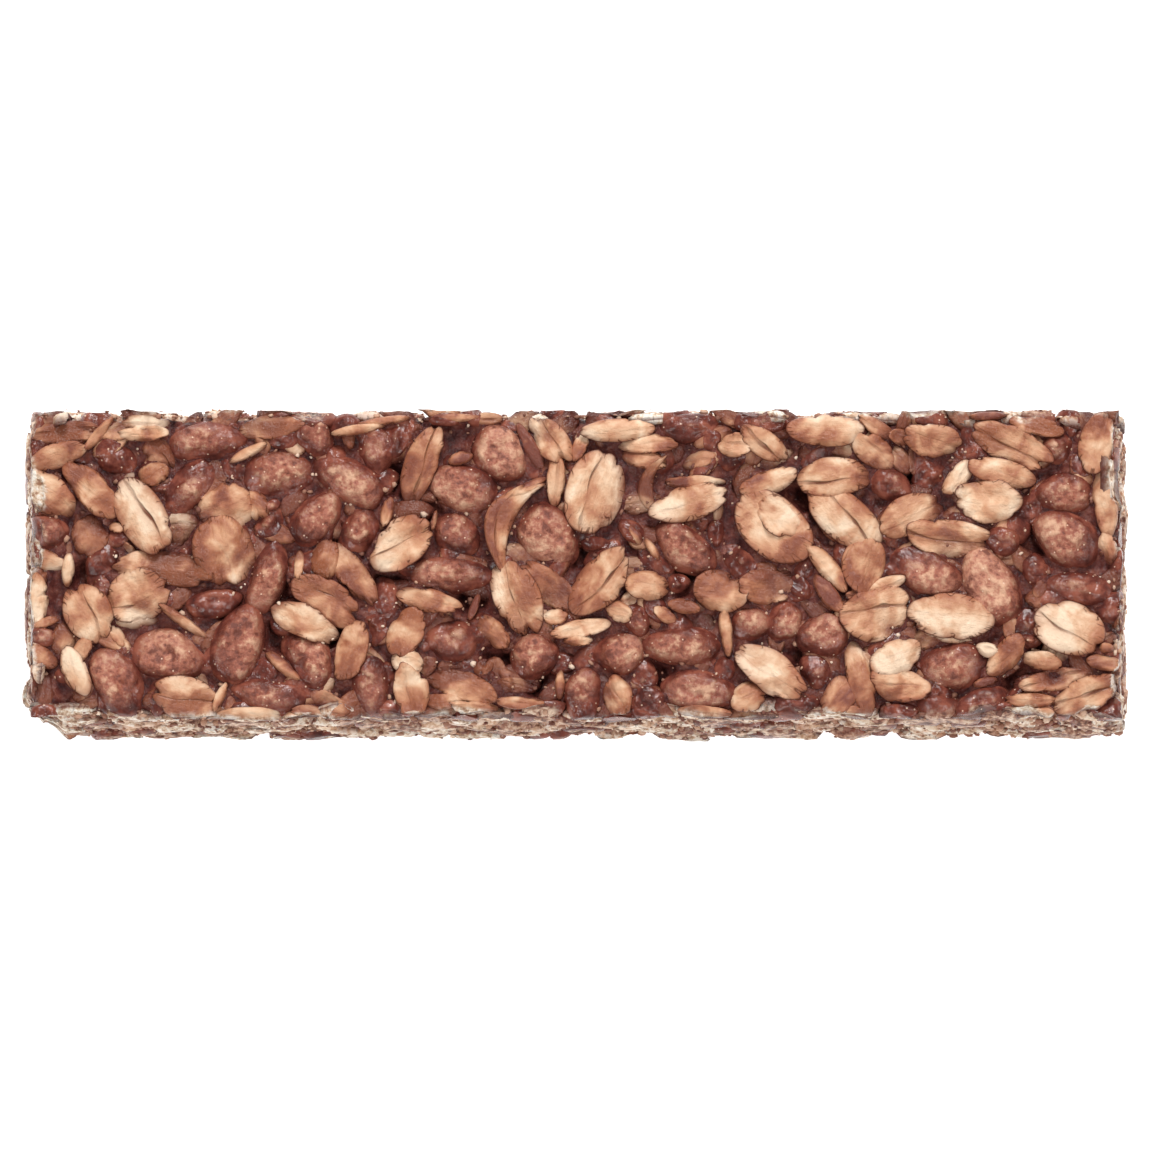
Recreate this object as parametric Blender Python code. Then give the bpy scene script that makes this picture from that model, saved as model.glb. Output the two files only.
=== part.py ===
"""Cereal bar of rolled oats and cocoa crisps held in cocoa syrup, cut from a pressed slab.

Metres, +Z up, +X along the bar. The origin is the middle of the flat underside.
The whole bar holds together as one piece, so it is one solid: a slab of syrup and crumb
with the oats and crisps that show fused into its upper face and its four cut faces.
"""

import math
import random

import bmesh
import bpy
from mathutils import Euler, Matrix, Vector, noise

MM = 0.001

# Driving sizes of the bar. The knife leans, so the underside is a little larger than the top.
TOP_LENGTH = 108.9 * MM
TOP_WIDTH = 31.0 * MM
BAR_HEIGHT = 13.0 * MM
END_LEAN = 1.3 * MM
SIDE_LEAN = 1.0 * MM

# What broke off the left end's front corner
CHIP = 1.6 * MM

# How far the pieces stand out of the syrup
TOP_RELIEF = 1.3 * MM
CUT_RELIEF = 0.7 * MM

# Typical sizes of the ingredients
OAT_THICKNESS = 1.3 * MM
OAT_CROWN = 0.35 * MM
OAT_RIM = 0.72
CRISP_HEIGHT_TO_WIDTH = 0.9
SMALLEST_PIECE = 3.0
DEEPEST_PIECE = 0.95
SEED = 7

# Rolled oats of the upper face: x, y, length, width in mm, turn in degrees, and the depth of
# their highest point under the bar's top in mm
OATS = (
    (-51.0, 13.3, 6.5, 2.6, 5, 0.9), (-52.0, 10.9, 5.8, 2.4, 18, 0.4),
    (-43.3, 14.3, 5.6, 1.6, 0, 0.9), (-43.3, 13.2, 4.6, 1.7, 2, 0.3),
    (-41.8, 11.0, 4.2, 3.0, -60, 0.9), (-42.3, 9.0, 2.7, 2.5, 20, 0.5),
    (-53.2, 7.2, 6.5, 4.3, -40, 0.2), (-48.5, 7.4, 6.4, 3.6, -48, 0.1),
    (-43.4, 4.7, 7.6, 4.6, -58, 0.0), (-48.6, 3.0, 4.2, 3.3, 70, 0.9),
    (-45.9, 3.7, 1.6, 1.3, 0, 0.8), (-40.2, 2.7, 2.8, 2.2, 60, 1.5),
    (-53.0, 0.4, 3.8, 1.9, -20, 0.6), (-35.2, 3.2, 9.4, 5.8, -83, 0.2),
    (-41.2, -0.4, 9.2, 3.4, -5, 0.5), (-43.8, -3.3, 6.2, 5.0, 22, 0.0),
    (-48.8, -5.0, 6.0, 4.4, -58, 0.0), (-54.2, -3.6, 4.6, 3.2, 88, 0.4),
    (-53.0, -5.9, 2.4, 1.0, 15, 0.5), (-53.8, -9.2, 3.8, 2.2, -30, 0.5),
    (-51.2, -7.6, 3.8, 2.6, 75, 1.0), (-49.4, -8.7, 2.8, 1.6, 62, 0.6),
    (-50.0, -10.9, 4.6, 2.6, -65, 0.3), (-45.9, -7.2, 2.4, 1.4, -60, 0.8),
    (-38.8, -13.8, 6.8, 4.2, -14, 0.1), (-30.3, 13.9, 6.0, 2.4, 5, 0.3),
    (-25.2, 0.4, 4.0, 3.0, 80, 0.5), (-22.4, -1.0, 6.6, 3.0, -55, 0.6),
    (-25.0, -3.6, 7.4, 3.8, -28, 0.1), (-27.0, -6.0, 6.0, 3.2, -22, 0.0),
    (-22.4, -8.9, 6.2, 3.0, 76, 0.2), (-33.0, -15.2, 7.5, 1.5, 3, 0.8),
    (-24.8, -13.9, 4.4, 1.8, -30, 1.0), (-26.4, -15.0, 3.8, 1.5, -8, 0.9),
    (-15.4, 10.2, 7.8, 3.2, 68, 0.1), (-17.3, 1.9, 7.2, 4.4, 36, 0.0),
    (-14.7, -3.8, 5.8, 2.6, -12, 0.1), (-5.9, -3.7, 7.4, 4.6, -62, 0.0),
    (-2.8, -2.4, 6.6, 3.2, -42, 0.4), (-17.0, -6.9, 5.2, 3.4, 58, 0.1),
    (-16.8, -9.9, 3.0, 2.6, -10, 0.2), (-16.4, -13.0, 5.2, 3.4, -78, 0.2),
    (-8.2, -7.0, 4.2, 2.2, -48, 0.4), (-11.3, -12.4, 6.6, 3.2, -18, 0.3),
    (-13.3, -13.9, 3.8, 1.6, -5, 0.6), (-10.2, -14.6, 4.4, 1.4, -2, 0.3),
    (-5.6, -14.1, 4.4, 1.3, -3, 0.3), (-6.0, -12.2, 4.0, 1.6, -8, 1.3),
    (-9.3, -10.5, 2.4, 1.6, 20, 1.4), (-7.2, 3.8, 7.8, 3.0, 80, 0.3),
    (-2.6, 12.4, 5.4, 3.0, -55, 0.1), (-2.0, 8.5, 5.0, 1.8, 88, 0.4),
    (0.4, 12.0, 3.0, 1.5, 72, 0.5), (4.2, 13.4, 6.6, 2.5, 3, 0.1),
    (7.2, 12.1, 5.4, 2.2, -2, 0.4), (6.8, 10.6, 4.4, 1.9, -12, 0.6),
    (1.9, 7.2, 8.0, 5.6, 72, 0.0), (11.4, 6.1, 7.2, 3.4, 12, 0.0),
    (12.0, 8.2, 5.4, 1.4, 0, 0.5), (12.2, 10.5, 3.4, 1.6, 12, 0.8),
    (2.4, -1.9, 7.6, 4.4, 50, 0.0), (7.1, -2.2, 4.2, 3.0, -6, 0.1),
    (4.3, -4.8, 2.8, 2.0, -30, 0.5), (-2.1, -5.4, 2.4, 1.6, 0, 0.7),
    (0.5, -6.6, 5.6, 1.9, 12, 0.3), (0.2, -7.8, 2.6, 1.1, 0, 0.2),
    (10.8, -4.3, 2.8, 1.6, -10, 0.6), (8.9, -5.2, 2.3, 1.5, -35, 0.5),
    (4.2, -13.3, 4.0, 2.8, -72, 0.3), (12.8, -15.0, 4.8, 1.4, -4, 0.7),
    (16.0, 11.9, 3.6, 2.4, 5, 0.3), (18.8, 12.1, 4.8, 2.8, -35, 0.2),
    (24.9, 13.4, 6.8, 3.4, -4, 0.0), (29.8, 11.4, 4.6, 3.0, -40, 0.4),
    (30.2, 13.7, 4.2, 1.6, -32, 0.6), (25.8, 8.7, 7.2, 3.8, 4, 0.0),
    (19.3, 8.2, 6.0, 2.2, 18, 0.3), (19.7, 3.6, 8.4, 5.8, -38, 0.2),
    (20.3, 4.6, 5.0, 3.4, -35, 0.0), (26.8, 4.7, 8.2, 4.6, -44, 0.1),
    (25.3, -0.5, 5.4, 2.0, -52, 0.1), (28.8, -0.1, 5.2, 4.4, 70, 0.1),
    (14.5, -2.9, 5.2, 3.9, -10, 0.1), (19.2, -2.3, 5.0, 3.8, 0, 0.1),
    (30.0, -2.5, 5.6, 1.8, 18, 0.5), (30.0, -5.0, 7.0, 5.0, 16, 0.1),
    (19.3, -10.7, 7.4, 4.0, -32, 0.0), (17.2, -13.4, 3.6, 2.9, 30, 0.3),
    (26.3, -13.5, 4.4, 3.2, 60, 0.5), (27.2, -15.0, 4.2, 1.3, 0, 0.7),
    (28.4, -11.4, 6.8, 2.8, -76, 0.3), (32.0, -9.5, 4.8, 3.6, 25, 0.1),
    (32.2, -12.2, 5.6, 3.4, -12, 0.2), (35.6, 12.4, 5.4, 3.3, -8, 0.1),
    (32.8, 12.8, 3.0, 1.5, -5, 0.4), (33.4, 4.9, 6.6, 3.6, 28, 0.2),
    (36.9, 2.7, 8.4, 3.6, -4, 0.1), (41.1, 6.2, 6.4, 4.4, -8, 0.0),
    (42.6, 9.1, 6.4, 2.8, -15, 0.2), (38.3, 8.6, 3.8, 2.2, 55, 0.3),
    (43.6, 12.0, 8.2, 3.6, -24, 0.3), (46.2, 13.9, 5.6, 1.9, -12, 0.3),
    (49.3, -6.5, 7.0, 5.0, -25, 0.0), (52.1, 12.0, 5.6, 3.6, 80, 0.2),
    (53.0, 6.0, 6.0, 2.4, -82, 0.4), (53.2, 1.6, 3.2, 1.8, -75, 0.6),
    (46.3, -2.6, 1.9, 1.4, 60, 0.9), (46.6, -9.8, 4.0, 1.7, -12, 0.3),
    (47.8, -11.7, 6.6, 2.2, 14, 0.3), (51.3, -13.1, 6.8, 3.2, 24, 0.1),
    (45.4, -13.8, 4.8, 1.5, 0, 0.5), (45.2, -15.3, 4.4, 1.7, 8, 0.5),
    (52.8, -10.0, 3.4, 1.6, -8, 0.4), (37.5, -5.4, 8.2, 4.4, -10, 0.0),
    (37.8, -7.0, 6.0, 2.0, -6, 0.4), (43.0, -9.3, 4.8, 2.6, 45, 0.2),
    (41.1, -8.7, 2.2, 1.5, -10, 0.2),
)

# Oats of the upper face that stand on edge in the syrup, in the same terms
SLIVERS = (
    (-47.8, 13.1, 4.4, 1.0, 50, 0.5), (-50.8, -0.6, 3.2, 1.2, 85, 0.4),
    (-39.1, -5.9, 5.5, 1.1, -33, 0.4), (-32.9, 11.2, 4.0, 1.0, 25, 0.3),
    (-21.9, 13.5, 5.2, 1.0, 8, 0.3), (-27.7, -0.2, 3.2, 1.0, 90, 0.5),
    (-29.3, -10.3, 4.6, 1.1, -42, 0.5), (-35.6, -13.5, 3.2, 0.9, 65, 0.5),
    (-19.4, 14.4, 5.0, 0.9, 8, 0.5), (-12.4, 14.7, 6.4, 0.8, 1, 0.6),
    (-11.6, 10.6, 2.5, 1.2, 15, 0.3), (-4.5, 11.6, 5.4, 1.4, -62, 0.6),
    (-18.9, 5.2, 2.8, 1.3, 80, 0.3), (-14.2, 4.4, 2.2, 0.6, 80, 0.9),
    (-4.8, 7.7, 3.8, 1.2, 28, 0.5), (-10.2, -4.4, 2.8, 0.8, 70, 0.8),
    (7.1, 6.6, 5.6, 1.5, 88, 0.2), (7.6, 1.5, 2.5, 0.9, -58, 0.7),
    (6.0, 2.9, 2.2, 0.9, -60, 0.8), (-1.6, -12.2, 2.8, 1.0, 90, 0.5),
    (25.2, -3.0, 4.6, 1.7, -55, 0.4), (15.0, -6.8, 4.6, 1.3, -82, 0.5),
    (41.3, 14.9, 3.8, 0.8, 2, 0.5), (41.0, -11.9, 2.6, 1.0, 10, 0.8),
    (53.0, -8.5, 1.5, 1.0, 0, 0.6),
)

# Cocoa crisps of the upper face, in the same terms
CRISPS = (
    (-46.2, 10.8, 4.2, 3.2, -30, 0.8), (-36.8, 12.3, 7.3, 3.9, 5, 0.3),
    (-38.8, 7.8, 6.2, 3.8, 48, 0.3), (-53.2, 3.3, 4.6, 3.2, 0, 0.3),
    (-47.4, 0.4, 3.6, 2.8, 60, 0.8), (-53.6, -7.4, 2.8, 1.9, 0, 0.5),
    (-45.8, -11.9, 6.8, 4.6, -70, 0.1), (-40.8, -9.2, 6.7, 5.1, -12, 0.0),
    (-29.5, 12.5, 2.8, 1.6, 0, 0.8), (-29.8, 9.0, 6.7, 4.8, 8, 0.1),
    (-26.2, 12.9, 4.0, 3.4, -60, 0.3), (-22.6, 8.4, 6.9, 4.2, -30, 0.1),
    (-20.1, 11.3, 4.5, 3.6, 75, 0.5), (-26.1, 4.6, 5.8, 4.0, 50, 0.2),
    (-21.7, 3.2, 4.8, 3.6, 65, 0.4), (-30.8, 4.0, 3.4, 2.5, 45, 0.6),
    (-30.4, 5.9, 1.5, 1.0, 20, 0.4), (-30.9, -1.4, 6.9, 3.6, 72, 0.2),
    (-33.8, -8.2, 7.3, 4.8, 68, 0.1), (-26.8, -9.4, 6.4, 4.0, -58, 0.2),
    (-30.7, -13.2, 6.8, 3.2, -8, 0.4), (-36.3, -3.9, 5.4, 2.6, 12, 0.8),
    (-20.6, -12.0, 5.8, 3.4, -80, 0.3), (-18.0, 12.7, 4.2, 2.8, 70, 0.7),
    (-7.7, 11.2, 5.8, 4.6, -60, 0.1), (-11.2, 7.6, 7.0, 4.3, -18, 0.0),
    (-12.0, 3.1, 5.0, 3.6, -38, 0.4), (-2.8, 2.9, 6.5, 4.9, -45, 0.0),
    (-12.6, -1.1, 7.3, 3.4, 0, 0.2), (-19.2, -3.2, 4.0, 2.6, 90, 0.9),
    (-12.4, -7.7, 5.0, 4.0, -10, 0.4), (-4.2, -9.3, 4.5, 4.2, 0, 0.1),
    (-19.9, -6.6, 3.2, 2.2, 75, 1.3), (11.3, 13.8, 5.4, 2.7, 3, 0.3),
    (10.9, 1.6, 6.4, 4.0, -38, 0.2), (2.0, 2.1, 2.8, 1.3, 0, 0.9),
    (4.3, -9.0, 4.7, 4.2, 0, 0.1), (10.7, -8.3, 7.1, 3.6, -4, 0.2),
    (6.0, -5.6, 3.4, 2.2, -60, 0.5), (10.2, -1.9, 2.2, 1.7, 30, 0.9),
    (0.7, -13.2, 5.2, 3.2, 88, 0.3), (7.3, -13.6, 3.2, 2.4, 0, 0.8),
    (12.2, -12.7, 7.2, 3.5, -3, 0.2), (18.4, 14.3, 5.0, 2.2, 0, 0.4),
    (13.6, 12.5, 2.2, 1.6, 60, 0.8), (31.6, 7.9, 4.0, 3.0, -35, 0.4),
    (16.4, 0.2, 4.0, 3.2, -60, 0.5), (14.0, 3.2, 2.6, 1.6, 80, 1.2),
    (17.3, -6.1, 4.0, 3.6, 0, 0.3), (20.8, -5.7, 4.0, 3.2, 80, 0.5),
    (24.7, -7.2, 5.0, 4.0, 20, 0.3), (22.3, -2.3, 2.6, 1.8, -40, 0.8),
    (23.9, -10.8, 3.6, 2.8, -50, 0.7), (22.0, -14.0, 4.2, 2.2, 0, 0.7),
    (35.5, 9.0, 3.6, 2.6, 20, 1.0), (42.7, 2.3, 3.1, 2.8, 0, 0.4),
    (45.6, 6.0, 3.2, 2.4, 60, 1.1), (35.1, -0.7, 6.8, 4.2, -22, 0.2),
    (41.5, -2.4, 7.4, 5.0, -62, 0.0), (46.3, -0.5, 2.4, 1.6, 0, 1.2),
    (48.2, 11.8, 3.0, 2.8, 0, 0.4), (49.0, 7.1, 5.3, 3.8, -8, 0.1),
    (49.2, 2.6, 6.2, 5.0, -35, 0.0), (50.4, -2.4, 6.2, 3.0, -10, 0.3),
    (37.7, -10.2, 6.0, 4.6, 10, 0.1), (40.5, -14.2, 5.0, 3.2, 25, 0.3),
    (36.0, -13.2, 2.8, 1.9, 0, 0.8), (32.5, -14.8, 3.2, 1.6, 0, 0.9),
    (45.5, -7.8, 1.8, 1.2, 0, 0.7),
)

draw = random.Random(SEED)


def clear_scene():
    for obj in list(bpy.data.objects):
        bpy.data.objects.remove(obj, do_unlink=True)


def new_collection(name):
    collection = bpy.data.collections.new(name)
    bpy.context.scene.collection.children.link(collection)
    return collection


def bar_material():
    """Cocoa syrup with oats in it, as one mean colour."""
    material = bpy.data.materials.new("cocoa_and_oats")
    material.use_nodes = True
    shader = material.node_tree.nodes["Principled BSDF"]
    shader.inputs["Base Color"].default_value = (0.34, 0.16, 0.11, 1.0)
    shader.inputs["Roughness"].default_value = 0.45
    shader.inputs["Metallic"].default_value = 0.0
    return material


def half_length(z):
    """Half the bar's length at height z, between its two cut ends."""
    return TOP_LENGTH / 2 + END_LEAN * (1 - z / BAR_HEIGHT)


def half_width(z):
    """Half the bar's width at height z, between its two cut sides."""
    return TOP_WIDTH / 2 + SIDE_LEAN * (1 - z / BAR_HEIGHT)


def trim_to_bar(bm):
    """The knife and the press: what reaches past a cut face or the underside ends flush in it."""
    depth = draw.uniform(0.02, 0.3) * MM
    for vert in bm.verts:
        co = vert.co
        co.z = min(max(co.z, 0.5 * CUT_RELIEF), BAR_HEIGHT)
        long_limit = half_length(co.z) - depth
        wide_limit = half_width(co.z) - depth
        co.x = min(max(co.x, -long_limit), long_limit)
        co.y = min(max(co.y, -wide_limit), wide_limit)


def add_piece(name, bm, place, collection):
    """One ingredient as its own object, in place and trimmed, ready to be fused."""
    bmesh.ops.transform(bm, matrix=place, verts=bm.verts)
    trim_to_bar(bm)
    bmesh.ops.recalc_face_normals(bm, faces=bm.faces)
    mesh = bpy.data.meshes.new(name)
    bm.to_mesh(mesh)
    bm.free()
    obj = bpy.data.objects.new(name, mesh)
    collection.objects.link(obj)
    return obj


def oat_shape(length, width, thickness):
    """A rolled oat: a crowned oval disc, a little uneven round its edge."""
    bm = bmesh.new()
    sides = 8 if length > 5.5 * MM else 6
    bmesh.ops.create_cone(bm, cap_ends=True, segments=sides, radius1=0.5, radius2=0.5 * OAT_RIM, depth=1.0)
    upper_cap = max(bm.faces, key=lambda face: face.calc_center_median().z)
    centre = bmesh.ops.poke(bm, faces=[upper_cap])["verts"][0]
    for vert in bm.verts:
        if vert is not centre:
            vert.co.xy *= draw.uniform(0.92, 1.06)
    centre.co.z += OAT_CROWN / thickness
    bmesh.ops.scale(bm, vec=(length, width, thickness), verts=bm.verts)
    return bm


def crisp_shape(length, width, height):
    """A puffed crisp: a lumpy long grain."""
    bm = bmesh.new()
    bmesh.ops.create_uvsphere(bm, u_segments=7, v_segments=4, radius=0.5)
    shift = Vector((draw.uniform(0, 90), draw.uniform(0, 90), draw.uniform(0, 90)))
    for vert in bm.verts:
        vert.co *= 1.06 + 0.14 * noise.noise(vert.co * 2.6 + shift)
    bmesh.ops.scale(bm, vec=(length, width, height), verts=bm.verts)
    return bm


def shows(length, depth):
    return length >= SMALLEST_PIECE and depth <= DEEPEST_PIECE


def add_upper_oats(collection):
    """Oats that lie in the upper face, each tilted a few degrees as pressing left it."""
    for x, y, length, width, turn, depth in OATS:
        if not shows(length, depth):
            continue
        tilt = (math.radians(draw.uniform(-6, 6)), math.radians(draw.uniform(-5, 5)))
        place = Matrix.Translation(
            (x * MM, y * MM, BAR_HEIGHT - depth * MM - 0.5 * OAT_THICKNESS - OAT_CROWN)
        )
        place @= Euler((0, 0, math.radians(turn))).to_matrix().to_4x4()
        place @= Euler((tilt[0], tilt[1], 0)).to_matrix().to_4x4()
        add_piece("oat", oat_shape(length * MM, width * MM, OAT_THICKNESS), place, collection)


def add_upper_slivers(collection):
    """Oats on edge: a long narrow back that rises out of the syrup."""
    height = 2.6 * MM
    for x, y, length, width, turn, depth in SLIVERS:
        if not shows(length, depth):
            continue
        place = Matrix.Translation((x * MM, y * MM, BAR_HEIGHT - depth * MM - 0.5 * height))
        place @= Euler((0, 0, math.radians(turn))).to_matrix().to_4x4()
        add_piece("sliver", oat_shape(length * MM, width * MM, height), place, collection)


def add_upper_crisps(collection):
    for x, y, length, width, turn, depth in CRISPS:
        if not shows(length, depth):
            continue
        height = max(CRISP_HEIGHT_TO_WIDTH * width * MM, TOP_RELIEF + 1.0 * MM)
        place = Matrix.Translation((x * MM, y * MM, BAR_HEIGHT - depth * MM - 0.5 * height))
        place @= Euler((0, 0, math.radians(turn))).to_matrix().to_4x4()
        add_piece("crisp", crisp_shape(length * MM, width * MM, height), place, collection)


def cut_face(along, half_span, outward, reach):
    """A cut face: its middle line, the way that it runs and its outward way."""
    return {"along": Vector(along), "half_span": half_span, "outward": Vector(outward), "reach": reach}


def cut_faces():
    return (
        cut_face((1, 0, 0), TOP_LENGTH / 2, (0, -1, 0), half_width),
        cut_face((1, 0, 0), TOP_LENGTH / 2, (0, 1, 0), half_width),
        cut_face((0, 1, 0), TOP_WIDTH / 2, (1, 0, 0), half_length),
        cut_face((0, 1, 0), TOP_WIDTH / 2, (-1, 0, 0), half_length),
    )


def add_cut_pieces(collection):
    """Oats seen edge on in the cut faces, as long low ridges in layers, with cut crisps among them."""
    layers = (2.6 * MM, 5.8 * MM, 9.0 * MM)
    spacing = 10.4 * MM
    for face in cut_faces():
        count = round(2 * face["half_span"] / spacing)
        for row, level in enumerate(layers):
            for index in range(count):
                step = (index + 0.5 + 0.35 * (row % 2) + draw.uniform(-0.2, 0.2)) / count
                along = (2 * step - 1) * (face["half_span"] - 2 * MM)
                z = level + draw.uniform(-0.6, 0.6) * MM
                is_crisp = draw.random() < 0.3
                length = draw.uniform(3.6, 5.6) * MM if is_crisp else draw.uniform(5.0, 7.4) * MM
                height = draw.uniform(2.2, 3.2) * MM if is_crisp else draw.uniform(1.0, 1.5) * MM
                stand = draw.uniform(0.5, 1.0) * CUT_RELIEF
                thickness = 2.4 * MM
                centre = face["along"] * along + face["outward"] * (face["reach"](z) - CUT_RELIEF + stand - 0.5 * thickness)
                centre.z = z
                sideways = face["along"]
                upward = Vector((0, 0, 1))
                out = sideways.cross(upward)
                if out.dot(face["outward"]) < 0:
                    sideways = -sideways
                    out = -out
                turn = Matrix((sideways, upward, out)).transposed().to_4x4()
                place = Matrix.Translation(centre) @ turn
                place @= Euler((0, 0, math.radians(draw.uniform(-14, 14)))).to_matrix().to_4x4()
                if is_crisp:
                    add_piece("cut_crisp", crisp_shape(length, height, thickness), place, collection)
                else:
                    add_piece("cut_oat", oat_shape(length, height, thickness), place, collection)


def slab(collection):
    """The pressed mass of syrup and crumb: a plain block whose cut faces are a little uneven."""
    core_height = BAR_HEIGHT - TOP_RELIEF
    bm = bmesh.new()
    bmesh.ops.create_cube(bm, size=1.0)
    for axis, cuts in ((0, 19), (1, 5), (2, 3)):
        along = [edge for edge in bm.edges if abs((edge.verts[0].co - edge.verts[1].co)[axis]) > 0.01]
        bmesh.ops.subdivide_edges(bm, edges=along, cuts=cuts, use_grid_fill=True)
    for side in (-1, 1):
        flat = [face for face in bm.faces if face.normal.z * side > 0.9]
        bmesh.ops.dissolve_faces(bm, faces=flat, use_verts=True)
    for vert in bm.verts:
        u, v = 2 * vert.co.x, 2 * vert.co.y
        z = (vert.co.z + 0.5) * core_height
        shift = Vector((u * 12, v * 4, z / (2.4 * MM) + SEED))
        recess = CUT_RELIEF * (0.55 + 0.45 * noise.noise(shift))
        x = u * (half_length(z) - recess * (abs(u) > 0.999))
        y = v * (half_width(z) - recess * (abs(v) > 0.999))
        if u < -0.999 and v < -0.999:
            x += CHIP
            y += 0.8 * CHIP
        vert.co = (x, y, z)
    bmesh.ops.recalc_face_normals(bm, faces=bm.faces)
    mesh = bpy.data.meshes.new("cereal_bar")
    bm.to_mesh(mesh)
    bm.free()
    obj = bpy.data.objects.new("cereal_bar", mesh)
    collection.objects.link(obj)
    return obj


def fuse(body, pieces):
    """Joins every piece to the slab in one union, then removes the separate pieces."""
    union = body.modifiers.new("fuse", "BOOLEAN")
    union.operation = "UNION"
    union.operand_type = "COLLECTION"
    union.collection = pieces
    union.solver = "MANIFOLD"
    bpy.context.view_layer.update()
    graph = bpy.context.evaluated_depsgraph_get()
    fused = bpy.data.meshes.new_from_object(body.evaluated_get(graph))
    body.modifiers.clear()
    body.data = fused
    for obj in list(pieces.objects):
        bpy.data.objects.remove(obj, do_unlink=True)
    bpy.data.collections.remove(pieces)


def keep_outer_shell(obj):
    """Drops loose scraps and the walls of sealed hollows, which leaves the bar's one outer shell."""
    bm = bmesh.new()
    bm.from_mesh(obj.data)
    bmesh.ops.remove_doubles(bm, verts=bm.verts, dist=0.002 * MM)
    bmesh.ops.triangulate(bm, faces=bm.faces)
    shells, seen = [], set()
    for start in bm.faces:
        if start in seen:
            continue
        shell, border = [], [start]
        seen.add(start)
        while border:
            face = border.pop()
            shell.append(face)
            for edge in face.edges:
                for other in edge.link_faces:
                    if other not in seen:
                        seen.add(other)
                        border.append(other)
        shells.append(shell)
    shells.sort(key=len, reverse=True)
    scraps = [face for shell in shells[1:] for face in shell]
    if scraps:
        bmesh.ops.delete(bm, geom=scraps, context="FACES")
    bm.to_mesh(obj.data)
    bm.free()


def centre_on_box(obj):
    """Puts the origin under the middle of the bar's box, on its flat underside."""
    xs = [vert.co.x for vert in obj.data.vertices]
    ys = [vert.co.y for vert in obj.data.vertices]
    zs = [vert.co.z for vert in obj.data.vertices]
    middle = Vector(((min(xs) + max(xs)) / 2, (min(ys) + max(ys)) / 2, min(zs)))
    obj.data.transform(Matrix.Translation(-middle))


def build():
    clear_scene()
    parts = new_collection("cereal_bar_parts")
    pieces = new_collection("loose_pieces")
    bar = slab(parts)
    add_upper_oats(pieces)
    add_upper_slivers(pieces)
    add_upper_crisps(pieces)
    add_cut_pieces(pieces)
    fuse(bar, pieces)
    keep_outer_shell(bar)
    centre_on_box(bar)
    bar.data.materials.clear()
    bar.data.materials.append(bar_material())


build()
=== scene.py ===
"""Looks of a cereal bar: oats and cocoa crisps in set cocoa syrup, cut from a pressed slab."""
import math

import bpy
import numpy as np
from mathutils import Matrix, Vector


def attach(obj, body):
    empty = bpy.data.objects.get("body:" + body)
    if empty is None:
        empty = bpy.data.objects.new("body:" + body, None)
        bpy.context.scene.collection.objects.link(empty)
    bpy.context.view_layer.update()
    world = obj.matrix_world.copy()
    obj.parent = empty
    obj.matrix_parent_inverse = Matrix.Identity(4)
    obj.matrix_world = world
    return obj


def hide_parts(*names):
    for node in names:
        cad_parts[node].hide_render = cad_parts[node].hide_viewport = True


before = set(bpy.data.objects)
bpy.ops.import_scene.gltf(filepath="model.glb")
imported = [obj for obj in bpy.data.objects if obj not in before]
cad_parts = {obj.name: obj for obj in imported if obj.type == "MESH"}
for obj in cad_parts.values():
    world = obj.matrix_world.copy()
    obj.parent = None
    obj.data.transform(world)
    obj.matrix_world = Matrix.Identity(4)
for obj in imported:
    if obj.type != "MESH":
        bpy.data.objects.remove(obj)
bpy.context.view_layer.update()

# Sunken oats: small and broken rolled grains that lie in the syrup under the upper layer. They
# show only in the gaps between the whole pieces, brown with syrup.
# Sizes and places are in mm, and a mesh is brought to metres when it is made.
MM = 0.001
bar_height = 13.0
top_half_length = 54.45
top_half_width = 15.5
end_lean = 1.3
side_lean = 1.0
corner_chip = 1.4
draw = np.random.default_rng(7)


def half_length(z):
    return top_half_length + end_lean * (1 - z / bar_height)


def half_width(z):
    return top_half_width + side_lean * (1 - z / bar_height)


def linear(code):
    """A colour written as sRGB hex, as the linear colour that a shader takes."""
    parts = [int(code[i : i + 2], 16) / 255 for i in (1, 3, 5)]
    return [p / 12.92 if p <= 0.04045 else ((p + 0.055) / 1.055) ** 2.4 for p in parts] + [1.0]


def uneven(points, size, seed):
    """Smooth random values between about -1 and 1 at points in mm, with features of that size."""
    scaled = np.asarray(points, float) / size + 37.3 + 11.7 * seed
    cell = np.floor(scaled).astype(np.int64)
    part = scaled - cell
    ease = part * part * (3 - 2 * part)
    total = np.zeros(len(scaled))
    for corner in np.ndindex(2, 2, 2):
        key = (cell + corner) @ np.array([374761393, 668265263, 2147483629]) + seed * 144665
        key = (key ^ (key >> 13)) * 1274126177
        value = ((key ^ (key >> 16)) & 0xFFFF) / 32767.5 - 1
        weight = np.ones(len(scaled))
        for axis in range(3):
            weight *= ease[:, axis] if corner[axis] else 1 - ease[:, axis]
        total += value * weight
    return total


def ease_between(low, high, value):
    part = np.clip((value - low) / (high - low), 0, 1)
    return part * part * (3 - 2 * part)


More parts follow.
